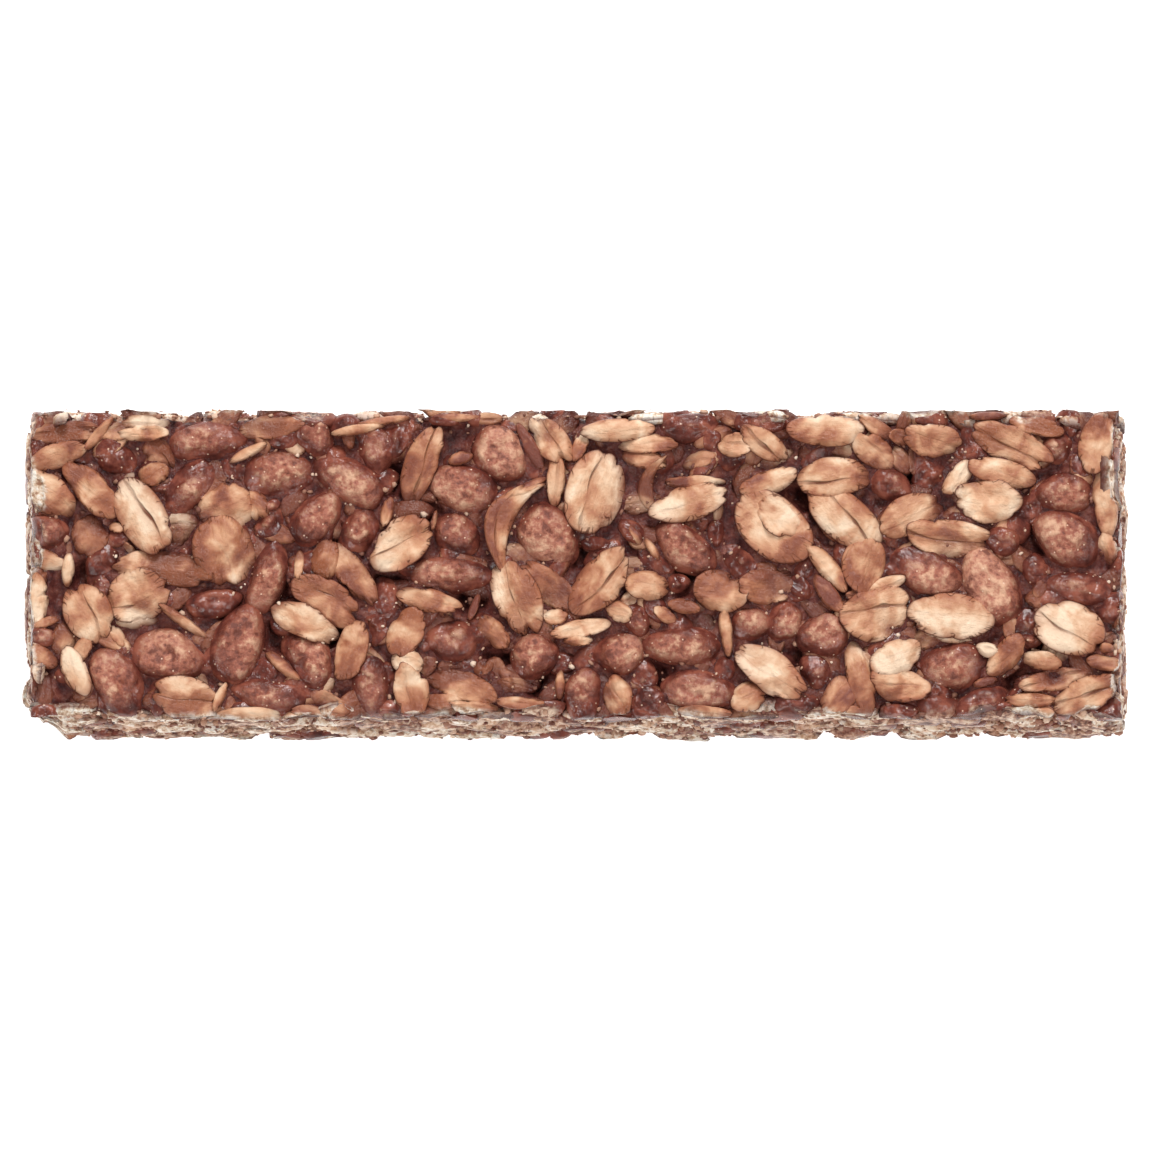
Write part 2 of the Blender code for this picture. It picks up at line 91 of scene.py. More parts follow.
class Face:
    """A face of the bar: a runs along it, b across it, and height outwards from its plane.

    Its map holds the height of what already lies there, every step, and a spare strip past each
    end.
    """

    step = 0.15
    spare = 2.0

    def __init__(self, half_a, low_b, high_b, floor, place):
        self.place = place
        self.low = np.array([-half_a - self.spare, low_b - self.spare])
        high = np.array([half_a + self.spare, high_b + self.spare])
        count = np.ceil((high - self.low) / self.step)
        self.shape = tuple(count.astype(int) + 1)
        self.height = np.full(self.shape, float(floor))

    def window(self, a, b, reach):
        """Slices of the map round a point, with the cells' own a and b."""
        first = np.floor((np.array([a, b]) - reach - self.low) / self.step).astype(int)
        last = np.ceil((np.array([a, b]) + reach - self.low) / self.step).astype(int) + 1
        first = np.clip(first, 0, np.array(self.shape) - 1)
        last = np.clip(last, 1, self.shape)
        cols = np.arange(first[0], last[0])
        rows = np.arange(first[1], last[1])
        cell_a, cell_b = np.meshgrid(cols, rows, indexing="ij")
        where = (slice(first[0], last[0]), slice(first[1], last[1]))
        return where, cell_a * self.step + self.low[0], cell_b * self.step + self.low[1]

    def read(self, grid, a, b):
        """Values of a map of this face at points."""
        col = np.clip((a - self.low[0]) / self.step, 0, self.shape[0] - 1.001)
        row = np.clip((b - self.low[1]) / self.step, 0, self.shape[1] - 1.001)
        i, j = col.astype(int), row.astype(int)
        s, t = col - i, row - j
        near = grid[i, j] * (1 - s) + grid[i + 1, j] * s
        far = grid[i, j + 1] * (1 - s) + grid[i + 1, j + 1] * s
        return near * (1 - t) + far * t


upper_face = Face(55, -17, 17, -1.9, lambda a, b, h: (a, b, bar_height + h))
front_face = Face(55, 0, 13, -0.8, lambda a, b, h: (a, -half_width(b) - h, b))
back_face = Face(55, 0, 13, -0.8, lambda a, b, h: (-a, half_width(b) + h, b))
right_face = Face(16, 0, 13, -0.8, lambda a, b, h: (half_length(b) + h, a, b))
left_face = Face(16, 0, 13, -0.8, lambda a, b, h: (-half_length(b) - h, -a, b))
under_face = Face(55, -17, 17, -0.5, lambda a, b, h: (a, -b, 0.02 - h))
cut_faces = (front_face, back_face, right_face, left_face)


def polar_body(rings, sectors):
    """A closed round body: its points' radius, angle and side (1 upper, -1 lower), and its faces."""
    radii = [0.0] + [math.sin(0.5 * math.pi * j / rings) for j in range(1, rings + 1)] + [0.8, 0.0]
    radius, angle, side, first = [], [], [], []
    for index, r in enumerate(radii):
        first.append(len(radius))
        count = sectors if r else 1
        radius += [r] * count
        angle += [2 * math.pi * (s + 0.5 * (index % 2)) / sectors for s in range(count)]
        side += [1 if index <= rings else -1] * count
    faces = [(0, first[1] + s, first[1] + (s + 1) % sectors) for s in range(sectors)]
    for j in range(1, len(radii) - 2):
        for s in range(sectors):
            after = (s + 1) % sectors
            inner, outer = first[j], first[j + 1]
            if j % 2:
                faces.append((inner + s, outer + s, inner + after))
                faces.append((inner + after, outer + s, outer + after))
            else:
                faces.append((inner + s, outer + after, inner + after))
                faces.append((inner + s, outer + s, outer + after))
    last, end = first[-2], first[-1]
    faces += [(last + s, end, last + (s + 1) % sectors) for s in range(sectors)]
    return np.array(radius), np.array(angle), np.array(side), np.array(faces)


def fit_piece(name, mesh, material):
    """Puts a mesh with its material in the place of the bar's solid."""
    mesh.shade_smooth()
    mesh.materials.append(material)
    piece = bpy.data.objects.new(name, mesh)
    bpy.context.scene.collection.objects.link(piece)
    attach(piece, "root")
    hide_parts("cereal_bar")


class Heap:
    """Like pieces gathered into one mesh, with what their material reads at each point."""

    def __init__(self):
        self.points, self.faces, self.values = [], [], []
        self.count = 0

    def add(self, points, faces, values):
        self.points.append(points)
        self.faces.append(faces + self.count)
        self.values.append(values)
        self.count += len(points)

    def fit(self, name, material):
        """Joins the heap into one mesh and puts it in the bar."""
        points = np.concatenate(self.points) * MM
        faces = np.concatenate(self.faces)
        mesh = bpy.data.meshes.new(name)
        mesh.vertices.add(len(points))
        mesh.vertices.foreach_set("co", points.ravel())
        mesh.loops.add(faces.size)
        mesh.loops.foreach_set("vertex_index", faces.ravel())
        mesh.polygons.add(len(faces))
        mesh.polygons.foreach_set("loop_start", np.arange(0, faces.size, faces.shape[1]))
        mesh.update(calc_edges=True)
        for key in self.values[0]:
            parts = [np.broadcast_to(v[key], len(p)) for v, p in zip(self.values, self.points)]
            layer = mesh.attributes.new(key, "FLOAT", "POINT")
            layer.data.foreach_set("value", np.concatenate(parts).astype(np.float32))
        mesh.validate()
        fit_piece(name, mesh, material)


def knife(points, inset):
    """Ends what reaches past a cut face, the press or the belt, and marks what the knife opened."""
    x, y, z = points.T
    held_z = np.clip(z, 0.02, bar_height)
    low_part = ease_between(bar_height, 3, held_z)
    broad, fine = 1 + uneven(points, 3.0, 91), 1 + uneven(points, 1.0, 92)
    crumble = (0.26 + 0.1 * low_part) * broad + 0.1 * fine
    near_top = ease_between(bar_height - 2.4, bar_height, held_z)
    torn = ease_between(0, 0.6, uneven(np.column_stack([x, y, 0 * z]), 3.4, 95)) * near_top
    crumble = crumble + 1.1 * torn
    # The corner that broke off at the left front
    at_corner = ease_between(51, 53, -x) * ease_between(12.5, 15, -y)
    chip = corner_chip * at_corner * ease_between(12, 9, z)
    limit_x = half_length(held_z) + 0.3 - inset - crumble
    limit_y = half_width(held_z) + 0.3 - inset - crumble
    held_x = np.clip(x, -limit_x + 1.2 * chip, limit_x)
    held_y = np.clip(y, -limit_y + chip, limit_y)
    cut = np.maximum(np.abs(held_x - x), np.abs(held_y - y)) > 0.03
    from_cut = np.minimum(limit_x - np.abs(held_x), limit_y - np.abs(held_y))
    floury = ease_between(0.5, 0.1, from_cut) * ease_between(-0.2, 0.3, uneven(points, 3.5, 93))
    return np.column_stack([held_x, held_y, held_z]), np.maximum(cut, 0.85 * floury)


def draped(surface, ground, r):
    """A surface lifted over what lies under it, except its rim, which tucks in below that."""
    over = ground + 0.05 - surface
    return surface + ease_between(1, 0.82, r) * 0.5 * (over + np.sqrt(over * over + 0.02))


def lay(heap, face, body, grain, a, b, turn, depth, tone, tilt=0.13, bend=0.0, glaze=0.0):
    """Sets a grain on what lies in a face, its highest point that deep, and adds it to a heap."""
    radius, angle, side, faces = body
    cos, sin = math.cos(math.radians(turn)), math.sin(math.radians(turn))
    where, cell_a, cell_b = face.window(a, b, 0.66 * grain.length)
    cell_u = (cell_a - a) * cos + (cell_b - b) * sin
    cell_v = (cell_b - b) * cos - (cell_a - a) * sin - grain.arc * cell_u**2 / grain.length
    stretch = np.hypot(2 * cell_u / grain.length, 2 * cell_v / grain.width)
    cell_r = stretch / grain.rim(np.arctan2(cell_v / grain.width, cell_u / grain.length))
    inside = cell_r < 1
    if inside.sum() < 8:
        return
    u, v, r = cell_u[inside], cell_v[inside], cell_r[inside]
    below = face.height[where][inside]
    terms = np.column_stack([np.ones_like(u), u, v, u * u])
    slope = np.linalg.lstsq(terms, below, rcond=None)[0]
    lean_u, lean_v = np.clip(slope[1:3], -tilt, tilt) + draw.uniform(-0.03, 0.03, 2)
    curve = np.clip(slope[3], -bend, bend)
    top = lean_u * u + lean_v * v + curve * u * u + grain.upper(u, v, r)
    level = -depth - np.quantile(top, 0.98)
    top = np.minimum(draped(top + level, below, r), 0)

    scale = radius * grain.rim(angle)
    u = 0.5 * grain.length * scale * np.cos(angle)
    v = 0.5 * grain.width * scale * np.sin(angle)
    bowed = v + grain.arc * u * u / grain.length
    spot_a, spot_b = a + u * cos - bowed * sin, b + u * sin + bowed * cos
    slant = lean_u * u + lean_v * v + curve * u * u + level
    ground = face.read(face.height, spot_a, spot_b)
    over = draped(slant + grain.upper(u, v, radius), ground, radius)
    height = np.where(side > 0, over, slant + grain.lower(u, v, radius))
    face.height[where][inside] = np.maximum(below, top)
    inset = draw.uniform(0, 0.2) if face is upper_face else draw.uniform(0, 0.12)
    points, cut = knife(np.column_stack(face.place(spot_a, spot_b, height)), inset)
    if face in cut_faces:
        cut = np.maximum(cut, draw.uniform(0.3, 1))
    way = draw.uniform(0, 2 * math.pi)
    drift = 2 * (u / grain.length * math.cos(way) + v / grain.width * math.sin(way))
    heap.add(points, faces, {
        "tone": tone / 10 + draw.uniform(-0.04, 0.04) + grain.shading * drift,
        "sunk": -height,
        "edge": radius,
        "cut": cut,
        "glaze": glaze,
        **grain.marks(u, v, angle),
    })


class Oat:
    """A rolled grain: a thin, bent oval sheet with a cracked rim."""

    shading = 0.24
    arc = 0.0

    def __init__(self, length, width, crease=0.0, thickness=0.7):
        self.length, self.width, self.thickness = length, width, thickness
        self.crease = crease
        self.crumple = draw.uniform(0.5, 1.8)
        self.point = draw.uniform(-0.02, 0.13)
        self.dome = draw.uniform(0.1, 0.5) * min(1, width / 3)
        self.seed = int(draw.integers(1, 9000))
        self.phase = draw.uniform(0, 2 * math.pi, 3)
        self.notches = [
            (draw.uniform(0, 2 * math.pi), draw.uniform(0.1, 0.25), draw.uniform(0.05, 0.17))
            for _ in range(int(draw.integers(2, 6)))
        ]
        if crease > 0.7:
            middle = 0.25 * math.sin(self.phase[0] + 1.3)
            self.notches.append((middle, 0.2, draw.uniform(0.1, 0.25)))

    def rim(self, angle):
        ring = np.column_stack([np.cos(angle), np.sin(angle), np.zeros_like(angle)]).reshape(-1, 3)
        ragged = 0.09 * uneven(ring, 0.8, self.seed + 7) + 0.03 * uneven(ring, 0.3, self.seed + 8)
        ragged = ragged.reshape(np.shape(angle))
        out = 1 + 0.04 * np.sin(2 * angle + self.phase[1]) + self.crumple * ragged
        out = out + self.point * (np.abs(np.cos(angle)) ** 5 - 0.45)
        for middle, spread, depth in self.notches:
            off = np.abs((angle - middle + math.pi) % (2 * math.pi) - math.pi)
            out = out - depth * np.clip(1 - off / spread, 0, 1)
        return out

    def from_crease(self, u, v):
        """How far a point is from the crease, in mm."""
        along = u / self.length
        bow = 0.12 * np.sin(2.6 * along + self.phase[0]) + 0.02 * np.sin(11 * along)
        return v - bow * self.width

    def open_crease(self, u):
        varied = 0.8 + 0.35 * np.sin(9 * u / self.length + self.phase[2])
        return varied * self.crease * np.sqrt(np.clip(1 - (1.9 * u / self.length) ** 2, 0, 1))

    def marks(self, u, v, angle):
        return {
            "off_crease": self.from_crease(u, v),
            "open_crease": self.open_crease(u),
            "along": u,
            "across": v + 20 * draw.random(),
            "ring_x": self.length * np.cos(angle) * 0.4,
            "ring_y": self.length * np.sin(angle) * 0.4,
        }

    def bent(self, u, v, r):
        """The middle of the sheet."""
        off = self.from_crease(u, v)
        flat = np.zeros_like(u)
        valley = -0.16 * np.exp(-((off / 0.5) ** 2)) + 0.12 * np.tanh(off / 0.25)
        spot = np.column_stack([u, v, flat])
        ridges = 0.13 * uneven(np.column_stack([0.5 * u, v, flat]), 1.5, self.seed)
        waves = 0.2 * uneven(spot, 2.6, self.seed + 1)
        curl = 0.4 * ease_between(0.55, 1, r) * uneven(spot, 1.7, self.seed + 2)
        layers = 0.17 * np.tanh(5 * uneven(np.column_stack([0.8 * u, v, flat]), 1.5, self.seed + 3))
        layered = np.clip(1.6 * self.crumple - 1.5, 0, 1.3)
        broken = self.crumple * (ridges + waves + curl) + layered * layers
        return self.dome * (1 - r * r) + self.open_crease(u) * valley + broken

    def upper(self, u, v, r):
        return self.bent(u, v, r) + 0.5 * self.thickness * np.clip(1 - r**6, 0, 1) ** 0.5

    def lower(self, u, v, r):
        return self.bent(u, v, r) - 0.5 * self.thickness * np.clip(1 - r**6, 0, 1) ** 0.5


# Where the gaps between the pieces go deep, and where no smaller piece lies
deep_gaps = (
    (-49.0, -1.4), (-24.0, 2.4), (-18.0, 8.6), (-15.2, 5.4), (-29.0, -3.6), (-29.9, -7.2),
    (-24.4, -6.8), (-18.6, -0.8), (-7.6, -9.4), (-10.6, -3.4), (-3.2, -11.8), (22.2, 6.8),
    (33.4, 8.4), (45.4, 2.2), (44.2, -11.4), (46.6, -7.4), (23.0, -9.3), (8.2, -11.0),
    (0.8, 1.2), (11.2, -1.4), (-34.4, -4.4),
)


def near_gap(x, y):
    return min(math.hypot(x - gx, y - gy) for gx, gy in deep_gaps) < 1.5


small_body = polar_body(6, 20)
sunken_oats = Heap()
oat_spacing_x, oat_spacing_y = 3.7, 3.6
oat_scatter = 1.6
for column in range(30):
    for row in range(9):
        x = -53.5 + oat_spacing_x * column + draw.uniform(-oat_scatter, oat_scatter)
        y = -14.4 + oat_spacing_y * row + draw.uniform(-oat_scatter, oat_scatter)
        length = draw.uniform(3.2, 6.0)
        grain = Oat(length, length * draw.uniform(0.4, 0.75), draw.uniform(0, 0.6))
        if not near_gap(x, y):
            tone, glaze = draw.uniform(4, 10), draw.uniform(0.4, 1)
            turn, depth = draw.uniform(0, 180), draw.uniform(0.9, 1.5)
            lay(
                sunken_oats, upper_face, small_body, grain, x, y, turn, depth, tone,
                tilt=0.3, glaze=glaze,
            )


def new_material(name):
    material = bpy.data.materials.new(name)
    material.use_nodes = True
    return material


def add_node(material, kind, settings=None, sockets=None):
    """Adds a node with its settings. A socket takes a value, or a (node, output) to link."""
    tree = material.node_tree
    made = tree.nodes.new("ShaderNode" + kind)
    for key, value in (settings or {}).items():
        setattr(made, key, value)
    for key, value in (sockets or {}).items():
        if isinstance(value, tuple) and isinstance(value[0], bpy.types.Node):
            tree.links.new(value[0].outputs[value[1]], made.inputs[key])
        else:
            made.inputs[key].default_value = value
    return made


def finish(material, colour, shine, bump, ior, specular):
    """Links a food's colour, roughness and bump to its shader, and sets what is even all over it."""
    shader = material.node_tree.nodes["Principled BSDF"]
    links = (("Base Color", colour), ("Roughness", (shine, 0)), ("Normal", (bump, 0)))
    for name, (node, output) in links:
        material.node_tree.links.new(node.outputs[output], shader.inputs[name])
    shader.inputs["IOR"].default_value = ior
    shader.inputs["Specular IOR Level"].default_value = specular


def fill_ramp(ramp, stops):
    """Sets a colour ramp's stops from (place, sRGB hex) pairs."""
    elements = ramp.color_ramp.elements
    while len(elements) < len(stops):
        elements.new(0.5)
    for element, (place, code) in zip(elements, stops):
        element.position = place
        element.color = linear(code)


# The sockets of a Mix node that mixes colours
FACTOR, COLOUR_A, COLOUR_B, COLOUR_OUT = 0, 6, 7, 2

# Rolled oat: a smooth, floury sheet, cream to golden, toasted in soft patches. Syrup stains it
# orange brown and pools dark at its foot, with painted contact shade at its rim. Its crease and the
# cracks in its rim are thin dark lines of painted shade with the syrup in them, and the low side of
# the crease's step has a painted shadow.
rolled_oat = new_material("rolled_oat")
tone, sunk, edge, glaze, cut, off_crease, open_crease, along, across, ring_x, ring_y = (
    add_node(rolled_oat, "Attribute", {"attribute_name": name}) for name in (
        "tone", "sunk", "edge", "glaze", "cut",
        "off_crease", "open_crease", "along", "across", "ring_x", "ring_y",
    )
)
where = add_node(rolled_oat, "TexCoord")
fibre_place = add_node(rolled_oat, "CombineXYZ", sockets={
    "X": (along, "Fac"), "Y": (across, "Fac"),
})
fibre_scale = add_node(rolled_oat, "VectorMath", {"operation": "MULTIPLY"}, {
    0: (fibre_place, 0), 1: (0.6, 2.2, 1.0),
})
fibres = add_node(rolled_oat, "TexNoise", sockets={
    "Vector": (fibre_scale, 0), "Scale": 1.0, "Detail": 4.0, "Roughness": 0.6,
})
stain = add_node(rolled_oat, "TexNoise", sockets={
    "Vector": (where, "Object"), "Scale": 300.0, "Detail": 3.0, "Roughness": 0.5,
    "Distortion": 0.4,
})
toast = add_node(rolled_oat, "Math", {"operation": "MULTIPLY_ADD"}, {
    0: (fibres, "Fac"), 1: 0.3, 2: (tone, "Fac"),
})
toasted = add_node(rolled_oat, "Math", {"operation": "MULTIPLY_ADD"}, {
    0: (stain, "Fac"), 1: 2.5, 2: (toast, 0),
})
shifted = add_node(rolled_oat, "Math", {"operation": "SUBTRACT"}, {0: (toasted, 0), 1: 1.33})
flour = add_node(rolled_oat, "ValToRGB", sockets={"Fac": (shifted, 0)})
fill_ramp(flour, (
    (0.0, "#f4d6b8"), (0.25, "#e6bc99"), (0.5, "#d19a76"), (0.75, "#b07153"), (1.0, "#7f4638"),
))
ragged_edge = add_node(rolled_oat, "Math", {"operation": "MULTIPLY_ADD"}, {
    0: (stain, "Fac"), 1: 0.6, 2: (edge, "Fac"),
})
margin = add_node(rolled_oat, "MapRange", sockets={
    "Value": (ragged_edge, 0), "From Min": 1.02, "From Max": 1.32, "To Max": 0.75,
})
# One side of the crease is a step down, with a painted shadow on it, and the crease itself is a
# thin dark line of painted shade
beside = add_node(rolled_oat, "MapRange", sockets={
    "Value": (off_crease, "Fac"), "From Min": -1.0, "From Max": 0.05, "To Max": 0.5,
})
shadowed_side = add_node(rolled_oat, "Math", {"operation": "LESS_THAN"}, {
    0: (off_crease, "Fac"), 1: 0.06,
})
hollow = add_node(rolled_oat, "Math", {"operation": "MULTIPLY"}, {
    0: (beside, 0), 1: (shadowed_side, 0),
})
# Painted shadow on the low side of the crease's step
painted_crease_shadow = add_node(rolled_oat, "Math", {"operation": "MULTIPLY"}, {
    0: (hollow, 0), 1: (open_crease, "Fac"),
})
distance = add_node(rolled_oat, "Math", {"operation": "ABSOLUTE"}, {0: (off_crease, "Fac")})
worn_distance = add_node(rolled_oat, "Math", {"operation": "MULTIPLY_ADD"}, {
    0: (stain, "Fac"), 1: 0.9, 2: (distance, 0),
})
crease_core = add_node(rolled_oat, "MapRange", sockets={
    "Value": (worn_distance, 0), "From Min": 0.58, "From Max": 0.44, "To Max": 0.9,
})
crease_line = add_node(rolled_oat, "Math", {"operation": "MULTIPLY"}, {
    0: (crease_core, 0), 1: (open_crease, "Fac"),
})
# Cracks run in from the rim, so their pattern is read along the rim alone
crack_place = add_node(rolled_oat, "CombineXYZ", sockets={
    "X": (ring_x, "Fac"), "Y": (ring_y, "Fac"), "Z": (across, "Fac"),
})
crack_noise = add_node(rolled_oat, "TexNoise", sockets={
    "Vector": (crack_place, 0), "Scale": 0.8, "Detail": 1.0,
})
crack_middle = add_node(rolled_oat, "Math", {"operation": "SUBTRACT"}, {
    0: (crack_noise, "Fac"), 1: 0.5,
})
crack_distance = add_node(rolled_oat, "Math", {"operation": "ABSOLUTE"}, {0: (crack_middle, 0)})
crack_core = add_node(rolled_oat, "MapRange", sockets={
    "Value": (crack_distance, 0), "From Min": 0.018, "From Max": 0.006,
})
crack_reach = add_node(rolled_oat, "MapRange", sockets={
    "Value": (ragged_edge, 0), "From Min": 1.12, "From Max": 1.2, "To Max": 0.9,
})
cracks = add_node(rolled_oat, "Math", {"operation": "MULTIPLY"}, {
    0: (crack_core, 0), 1: (crack_reach, 0),
})
# The crease and the rim cracks are too fine for the mesh, so their shade is painted as thin dark
# lines, with the syrup that lines them
crease_and_crack_shade = add_node(rolled_oat, "Math", {"operation": "MAXIMUM"}, {
    0: (cracks, 0), 1: (crease_line, 0),
})
skin = add_node(rolled_oat, "TexNoise", sockets={
    "Vector": (where, "Object"), "Scale": 1300.0, "Detail": 4.0, "Roughness": 0.65,
})
floury = add_node(rolled_oat, "ValToRGB", sockets={"Fac": (skin, "Fac")})
fill_ramp(floury, ((0.38, "#94694f"), (0.47, "#dabea2"), (0.57, "#f9efe1")))
thin_film = add_node(rolled_oat, "MapRange", sockets={
    "Value": (stain, "Fac"), "From Min": 0.45, "From Max": 0.57, "To Min": 0.12, "To Max": 1.0,
})
film = add_node(rolled_oat, "Math", {"operation": "MULTIPLY"}, {
    0: (glaze, "Fac"), 1: (thin_film, 0),
})
depth_stain = add_node(rolled_oat, "Math", {"operation": "MULTIPLY_ADD"}, {
    0: (stain, "Fac"), 1: 1.4, 2: (sunk, "Fac"),
})
soaked = add_node(rolled_oat, "MapRange", sockets={
    "Value": (depth_stain, 0), "From Min": 1.45, "From Max": 2.5, "To Max": 0.95,
})
# A thin dark outline round the rim where the flake meets the syrup: the syrup coat, with the contact
# shade under the rim painted in
rim_syrup_and_shade = add_node(rolled_oat, "MapRange", sockets={
    "Value": (edge, "Fac"), "From Min": 0.94, "From Max": 1.0, "To Max": 0.9,
})
syrup_pool_and_rim_shade = add_node(rolled_oat, "Math", {"operation": "MAXIMUM"}, {0: (soaked, 0), 1: (rim_syrup_and_shade, 0)})
coat = add_node(rolled_oat, "Math", {"operation": "MAXIMUM"}, {0: (syrup_pool_and_rim_shade, 0), 1: (film, 0)})
# From the flour up: browned margin, painted shadow beside the crease, painted shade of the crease
# and cracks, knife cut, thin glaze, pooled syrup with painted shade at the rim
oat_colour = (flour, "Color")
for share, colour in (
    ((margin, 0), linear("#a9684b")),
    # painted shadow beside the crease
    ((painted_crease_shadow, 0), linear("#a96a4b")),
    # painted shade of the crease and the cracks
    ((crease_and_crack_shade, 0), linear("#74402a")),
    ((cut, "Fac"), (floury, "Color")),
    ((film, 0), linear("#94563a")),
    # pooled syrup, and painted contact shade at the rim
    ((syrup_pool_and_rim_shade, 0), linear("#5c2f28")),
):
    oat_colour = (add_node(rolled_oat, "Mix", {"data_type": "RGBA"}, {
        FACTOR: share, COLOUR_A: oat_colour, COLOUR_B: colour,
    }), COLOUR_OUT)
relief = add_node(rolled_oat, "Math", {"operation": "MULTIPLY_ADD"}, {
    0: (fibres, "Fac"), 1: 0.6, 2: (skin, "Fac"),
})
slit_relief = add_node(rolled_oat, "Math", {"operation": "SUBTRACT"}, {
    0: (relief, 0), 1: (crease_and_crack_shade, 0),
})
bump = add_node(rolled_oat, "Bump", sockets={
    "Height": (slit_relief, 0), "Strength": 0.75, "Distance": 0.35 * MM,
})
shine = add_node(rolled_oat, "MapRange", sockets={
    "Value": (coat, 0), "To Min": 0.4, "To Max": 0.2,
})
finish(rolled_oat, oat_colour, shine, bump, ior=1.45, specular=0.4)
sunken_oats.fit("sunken_oats", rolled_oat)

# Puffed cocoa crisps of the upper face: toasted rice grains, blown up to lumpy oval shells with
# a pitted, sugary skin. The press sets them level with the oats, half sunk in the syrup, and the
# knife cuts straight through those at the edges.


class Crisp:
    """A puffed grain: a lumpy oval shell with a pitted skin."""

    shading = 0.26
    arc = 0.0

    def __init__(self, length, width):
        self.length, self.width = length, width
        self.rise = min(0.44 * width, 2.0)
        self.seed = int(draw.integers(1, 9000))
        self.phase = draw.uniform(0, 2 * math.pi, 3)

    def rim(self, angle):
        lobes = 0.05 * np.sin(2 * angle + self.phase[0]) + 0.05 * np.sin(3 * angle + self.phase[1])
        return 1.02 + lobes + 0.022 * np.sin(5 * angle + self.phase[2])

    def pits(self, u, v):
        spot = np.column_stack([u, v, np.zeros_like(u)])
        return uneven(spot, 0.7, self.seed) + 0.8 * uneven(spot, 0.42, self.seed + 1)

    def marks(self, u, v, angle):
        return {"pits": self.pits(u, v)}

    def upper(self, u, v, r):
        spot = np.column_stack([u, v, np.zeros_like(u)])
        dome = self.rise * np.sqrt(np.clip(1 - r**2.6, 0, 1))
        lumps = 0.42 * uneven(spot, 1.8, self.seed + 2) + 0.3 * uneven(spot, 0.9, self.seed + 3)
        return dome + (lumps + 0.18 * self.pits(u, v)) * np.clip(1.25 - r, 0, 1)

    def lower(self, u, v, r):
        return -0.5 * self.rise * np.sqrt(np.clip(1 - r**2, 0, 1))


